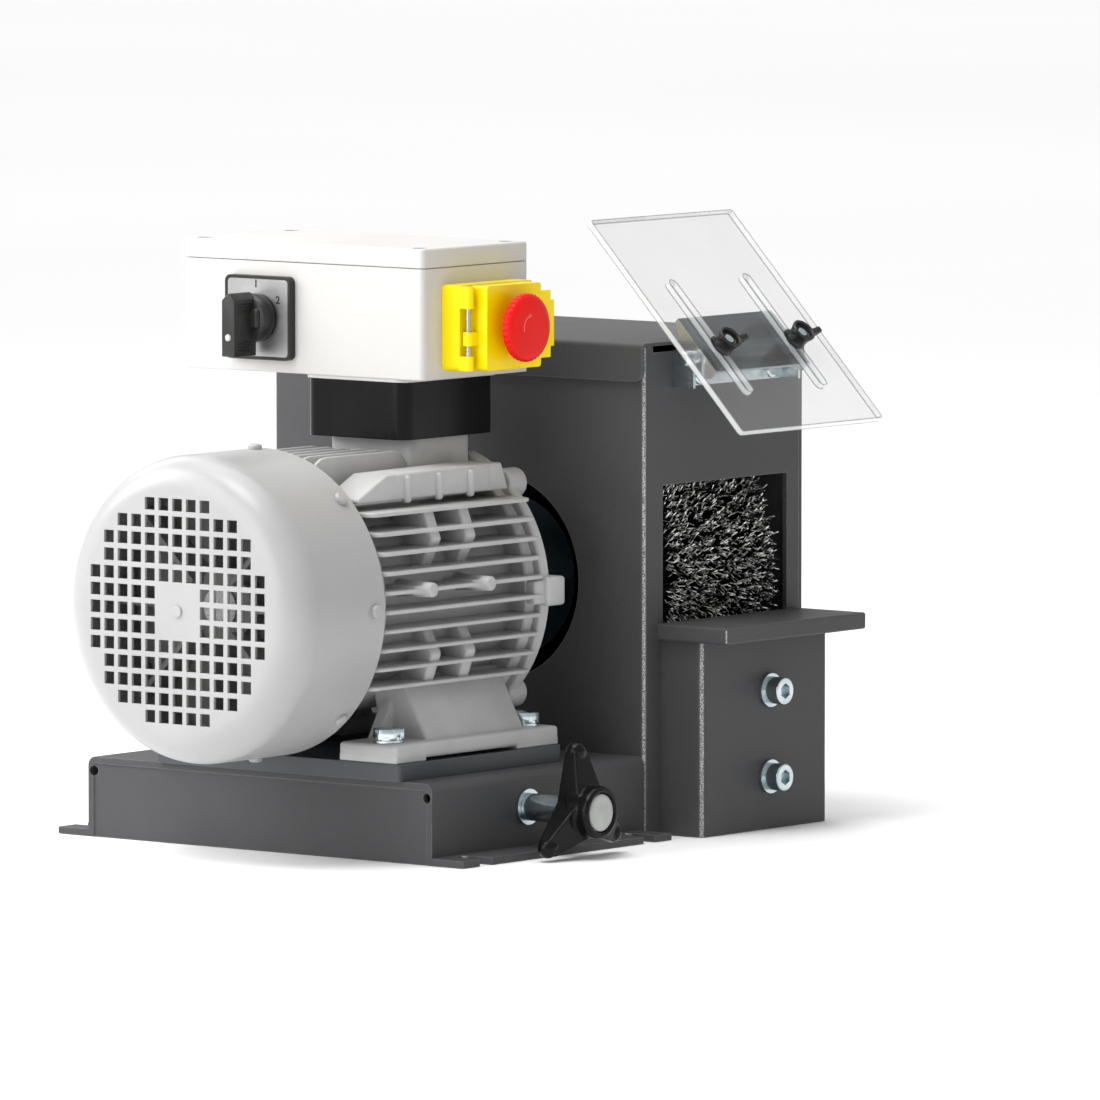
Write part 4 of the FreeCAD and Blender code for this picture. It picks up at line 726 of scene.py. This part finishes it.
piece("stop_head", mushroom(), "stop_mushroom", "red_plastic", ("estop_button",))


def turn_mark():
    """A thin raised arc and its arrow tip on the face of the mushroom."""
    bm = bmesh.new()
    face = mushroom_low.y
    toward = Matrix.Translation((STOP_X, 0, STOP_Z)) @ Matrix.Rotation(math.pi / 2, 4, "X")
    outline = []
    for radius, sweep in ((7.4, range(0, 13)), (6.8, range(12, -1, -1))):
        for k in sweep:
            angle = math.radians(100 + 8 * k)
            outline.append((radius * math.cos(angle), radius * math.sin(angle)))
    pour(bm, plate_shape(outline, 0.25, 0), toward @ Matrix.Translation((0, 0, -face - 0.28)))
    tip = [(1.3, 0), (-1.3, 1.3), (-1.3, -1.3)]
    arrow = Matrix.Translation((7.1 * math.cos(math.radians(98)), 7.1 * math.sin(math.radians(98)), 0))
    pour(bm, plate_shape(tip, 0.25, 0), toward @ Matrix.Translation((0, 0, -face - 0.28)) @ arrow)
    return bm


piece("stop_turn_mark", turn_mark(), "stop_mushroom", "red_plastic", finish=RED_MARK)

# ---- selector switch ----
dial_low, dial_high = span("switch_plate")
DIAL_Y = (dial_low.y + dial_high.y) / 2
DIAL_Z = (dial_low.z + dial_high.z) / 2


def towards_user(y, z, x):
    """Stands a shape's Z along -X on the switch face; its own X then runs to -Y and its Y up."""
    turn = Matrix(((0, 0, -1, 0), (-1, 0, 0, 0), (0, 1, 0, 0), (0, 0, 0, 1)))
    return Matrix.Translation((x, y, z)) @ turn


def switch_handle():
    """Pointer bar on a round collar, with grip ridges on its sides."""
    bm = bmesh.new()
    seat = dial_low.x - 1.0
    place = towards_user(DIAL_Y, DIAL_Z, seat)
    collar = [(0, 0), (14.0, 0), (14.4, 1.0), (14.2, 5.0), (13.2, 7.2), (11.6, 8.4), (0, 8.6)]
    pour(bm, turned(collar, 72), place)
    outline = [(-5.0, -21.6), (5.0, -21.6), (5.0, 11.2), (0.8, 15.4), (-0.8, 15.4), (-5.0, 11.2)]
    pour(bm, plate_shape(outline, 20.0, 0.9, 3), place @ Matrix.Translation((0, 0, 6.0)))
    web = [(-9.5, -6.0), (9.5, -6.0), (9.5, 6.0), (-9.5, 6.0)]
    pour(bm, plate_shape(web, 5.0, 2.0, 3), place @ Matrix.Translation((0, 0, 6.0)))
    for side in (-1, 1):
        for start in (-19.5, 3.4):
            for k in range(4):
                y0 = start + 1.9 * k
                x0, x1 = sorted((side * 4.4, side * 5.45))
                pour(bm, box_shape((x0, y0, 10.5), (x1, y0 + 0.9, 23.5), 0.2, 1), place)
    return bm


piece("switch_handle", switch_handle(), "switch", "black_satin_plastic", ("switch_knob",))


def pointer_dot():
    bm = bmesh.new()
    profile = [(0, 0.35), (1.7, 0.3), (2.15, 0.12), (2.25, 0), (0, 0)]
    pour(bm, turned(profile, 32), towards_user(DIAL_Y, DIAL_Z - 10.4, dial_low.x - 1.0 - 25.95))
    return bm


piece("pointer_dot", pointer_dot(), "switch", "off_white_plastic")


def dial_digit(name, text, y, z, height):
    """One printed digit on the switch face, as a thin solid."""
    words = bpy.data.curves.new(name, "FONT")
    words.body = text
    words.size = height
    words.align_x = "CENTER"
    words.align_y = "CENTER"
    words.extrude = 0.04
    words.offset = 0.16
    carrier = bpy.data.objects.new(name + "_text", words)
    bpy.context.scene.collection.objects.link(carrier)
    bpy.context.view_layer.update()
    graph = bpy.context.evaluated_depsgraph_get()
    mesh = bpy.data.meshes.new_from_object(carrier.evaluated_get(graph))
    bm = bmesh.new()
    bm.from_mesh(mesh)
    bpy.data.objects.remove(carrier)
    bmesh.ops.remove_doubles(bm, verts=bm.verts, dist=1e-5)
    bmesh.ops.transform(bm, matrix=towards_user(y, z, dial_low.x - 0.05), verts=bm.verts)
    bmesh.ops.recalc_face_normals(bm, faces=bm.faces)
    piece(name, bm, "carriage", "black_satin_plastic", smooth_below=20)


dial_digit("digit_one", "1", DIAL_Y + 1.2, DIAL_Z + 19.6, 6.2)
dial_digit("digit_two", "2", DIAL_Y - 15.4, DIAL_Z + 10.6, 6.2)

# ---- motor frame ----
frame_high = span("motor_frame")[1]
BARREL_R = 68.0
BORE_R = 60.0
FIN_COUNT = 10
FIN_PITCH = 11.1
FIN_MID_Z = 150.5
FIN_REACH = 88.0
FIN_CROWN = 0.0042
TOP_FIN_TOP = 231.0
TOP_FINS = 6
TOP_FIN_PITCH = 12.0
FRAME_X = (83.0, 229.5)
PILLAR_THICK = 9.0
PILLAR_X = (137.0, 169.0)
LUG_X = (118.7, 172.1)
FOOT_X = (93.0, 243.0)


def fin_tip(dz):
    return FIN_REACH - FIN_CROWN * dz * dz


def drafted_fin(x0, x1, y0, y1, z, root_thick, tip_thick, corner=5.0):
    """A cast fin, thicker at its root, with its tip edges rounded."""
    bm = bmesh.new()
    bmesh.ops.create_cube(bm, size=1.0)
    for vert in bm.verts:
        thick = root_thick if (vert.co.y < 0) == (abs(y0) < abs(y1)) else tip_thick
        vert.co = Vector((x1 if vert.co.x > 0 else x0, y1 if vert.co.y > 0 else y0,
                          z + (thick / 2 if vert.co.z > 0 else -thick / 2)))
    tips = [e for e in bm.edges if all(abs(abs(v.co.y) - max(abs(y0), abs(y1))) < 0.01 for v in e.verts)]
    corners = [e for e in tips if abs(e.verts[0].co.x - e.verts[1].co.x) < 0.01]
    bmesh.ops.bevel(bm, geom=corners, offset=corner, offset_type="OFFSET", segments=5,
                    affect="EDGES", profile=0.5, material=-1)
    return rounded(bm, 0.75, 2, 40)


def slanted_block(points, vec, edge=1.5, steps=3):
    """A cast block: a flat face through points, extruded along a direction."""
    bm = bmesh.new()
    face = bm.faces.new([bm.verts.new(point) for point in points])
    grown = bmesh.ops.extrude_face_region(bm, geom=[face])
    lifted = [item for item in grown["geom"] if isinstance(item, bmesh.types.BMVert)]
    bmesh.ops.translate(bm, vec=vec, verts=lifted)
    bmesh.ops.recalc_face_normals(bm, faces=bm.faces)
    return rounded(bm, edge, steps)


def cast_frame():
    """Barrel, fins, pillars, bosses, terminal pedestal and feet of the motor."""
    bm = bmesh.new()
    length = FRAME_X[1] - FRAME_X[0]
    tube = [(BORE_R, 0), (79.0, 0), (80.0, 1.0), (80.0, 8.0), (79.0, 9.0), (BARREL_R, 9.4),
            (BARREL_R, length - 9.4), (79.0, length - 9.0), (80.0, length - 8.0), (80.0, length - 1.0),
            (79.0, length), (BORE_R, length)]
    pour(bm, turned(tube, 96, True), stand(FRAME_X[0], 0, AXIS_Z, (1, 0, 0)))
    for side in (-1, 1):
        for k in range(FIN_COUNT):
            dz = FIN_PITCH * (k - (FIN_COUNT - 1) / 2)
            y0, y1 = sorted((side * 40.0, side * fin_tip(dz)))
            pour(bm, drafted_fin(FRAME_X[0], 229.0, y0, y1, FIN_MID_Z + dz, 4.4, 2.3))
        for x in PILLAR_X:
            for z0, z1 in ((FIN_MID_Z + 50.5, FIN_MID_Z + 16.0), (FIN_MID_Z - 50.5, FIN_MID_Z - 16.0)):
                outer = side * (fin_tip(abs(z0 - FIN_MID_Z)) - 3.5)
                inner = side * (fin_tip(abs(z1 - FIN_MID_Z)) - 15.0)
                left = x - PILLAR_THICK / 2
                points = [(left, side * 50, z0), (left, outer, z0), (left, side * 80.5, (z0 + z1) / 2),
                          (left, inner, z1), (left, side * 50, z1)]
                pour(bm, slanted_block(points, (PILLAR_THICK, 0, 0), 1.4))
        for x in LUG_X:
            up = (0, side, 0)
            pour(bm, rod_shape(5.2, 33.0, 0.8, 2, 32, 4.2), stand(x, side * 60, 156.3, up))
            ring = [(1.6, 0), (3.0, 0), (3.0, 0.6), (1.6, 0.6)]
            pour(bm, turned(ring, 24, True), stand(x, side * 92.6, 156.3, up))
            gusset = [(x - 16, side * 60, 153.8), (x, side * 60, 153.8), (x, side * 89.5, 153.8),
                      (x - 9, side * 86, 153.8)]
            pour(bm, slanted_block(gusset, (0, 0, 5.0), 1.2))
        shoulder = [(83.5, side * 40, 206.5), (222.0, side * 40, 206.5), (215.5, side * 40, 222.5),
                    (110.0, side * 40, 221.5), (83.5, side * 40, 209.0)]
        pour(bm, slanted_block(shoulder, (0, side * 25.5, 0), 1.6))
        for x in (128.0, 157.0, 186.0):
            pour(bm, rod_shape(2.6, 16.0, 1.8, 3, 24), stand(x, side * 65.4, 204.5))
        panel_y = side * 64.0
        panel = [(113.0, panel_y, 207), (204.0, panel_y, 207), (204.0, panel_y, 221), (118.0, panel_y, 221)]
        pour(bm, slanted_block(panel, (0, side * 1.6, 0), 0.7, 2))
        y0, y1 = sorted((side * 43.0, side * 86.0))
        pour(bm, box_shape((FOOT_X[0], y0, 58.8), (FOOT_X[1], y1, 68.0), 2.2, 3))
        for x0, x1 in ((FOOT_X[0], 121.0), (204.0, FOOT_X[1])):
            pour(bm, box_shape((x0 + 0.2, y0 + 0.2, 57.0), (x1 - 0.2, y1 - 0.2, 62.0), 0.9, 2))
        web = [(130.0, side * 80, 66.0), (130.0, side * 44, 66.0), (130.0, side * 36, 104.0),
               (130.0, side * 59.5, 104.0)]
        pour(bm, slanted_block(web, (90.0, 0, 0), 2.2))
        skirt = [(115.0, side * 45, 66.0), (235.0, side * 45, 66.0), (213.0, side * 45, 100.0),
                 (136.0, side * 45, 100.0)]
        pour(bm, slanted_block(skirt, (0, side * 8, 0), 1.2))
    for k in range(TOP_FINS):
        y = TOP_FIN_PITCH * (k - (TOP_FINS - 1) / 2)
        fin = drafted_fin(FRAME_X[0], 172.0, 140.0, TOP_FIN_TOP, 0, 4.2, 2.4, 14.0)
        stand_up = Matrix(((1, 0, 0, 0), (0, 0, 1, y), (0, 1, 0, 0), (0, 0, 0, 1)))
        pour(bm, fin, stand_up)
    pedestal = box_shape((176, -33, 200), (229.4, 33, frame_high.z), 0)
    sides = [e for e in pedestal.edges if abs(e.verts[0].co.z - e.verts[1].co.z) > 1]
    bmesh.ops.bevel(pedestal, geom=sides, offset=7.0, offset_type="OFFSET", segments=5,
                    affect="EDGES", profile=0.5, material=-1)
    pour(bm, rounded(pedestal, 0.8, 2, 60))
    bmesh.ops.recalc_face_normals(bm, faces=bm.faces)
    return bm


piece("cast_frame", cast_frame(), "carriage", "motor_casting_paint", ("motor_frame",))


def end_casting():
    """Drive end shield: a stepped dome with bolt bosses and a lug on each side."""
    bm = bmesh.new()
    dome = [(13.0, 0), (83.0, 0), (84.0, 1.0), (84.0, 7.0), (82.5, 8.5), (74.0, 10.0), (64.0, 13.5),
            (47.0, 16.5), (45.0, 17.5), (28.0, 17.5), (26.0, 16.0), (13.0, 16.0)]
    pour(bm, turned(dome, 96, True), stand(229.6, 0, AXIS_Z, (1, 0, 0)))
    for degrees in (50, 130, 230, 310):
        angle = math.radians(degrees)
        place = stand(229.8, 80 * math.cos(angle), AXIS_Z + 80 * math.sin(angle), (1, 0, 0))
        pour(bm, rod_shape(8.8, 16.6, 1.2, 3, 40), place)
        pour(bm, rod_shape(5.0, 3.4, 0.5, 2, 6), place @ Matrix.Translation((0, 0, 13.6)))
    for side in (-1, 1):
        y0, y1 = sorted((side * 70.0, side * 88.6))
        pour(bm, box_shape((229.8, y0, AXIS_Z - 8.5), (246.6, y1, AXIS_Z + 8.5), 2.2, 3))
        y0, y1 = sorted((side * 74.0, side * 86.0))
        pour(bm, box_shape((221.0, y0, AXIS_Z - 7.0), (231.0, y1, AXIS_Z + 7.0), 1.5, 3))
    return bm


piece("end_casting", end_casting(), "carriage", "motor_casting_paint", ("drive_end_shield",))


def foot_bolts():
    """Hexagon bolts with chamfered heads on spring and flat washers."""
    bm = bmesh.new()
    seat = 68.0
    for x in (105.5, 230.5):
        for y in (-70.0, 70.0):
            flat_washer = [(5.2, 0), (9.0, 0), (9.0, 1.5), (5.2, 1.5)]
            spring_washer = [(5.2, 0), (8.2, 0.1), (8.2, 1.9), (5.2, 2.0)]
            pour(bm, turned(flat_washer, 40, True), stand(x, y, seat))
            pour(bm, turned(spring_washer, 40, True), stand(x, y, seat + 1.5))
            head = rod_shape(8.0 / math.cos(math.pi / 6), 6.2, 0.45, 2, 6)
            pour(bm, head, stand(x, y, seat + 1.9, spin=0.5))
            pour(bm, rod_shape(7.6, 0.5, 0.2, 2, 40, 6.9), stand(x, y, seat + 8.0))
            pour(bm, rod_shape(5.0, 24.0, 0, 1, 24), stand(x, y, seat - 21.8))
    return bm


piece("foot_bolts", foot_bolts(), "carriage", "bright_zinc", ("motor_foot_bolts",))
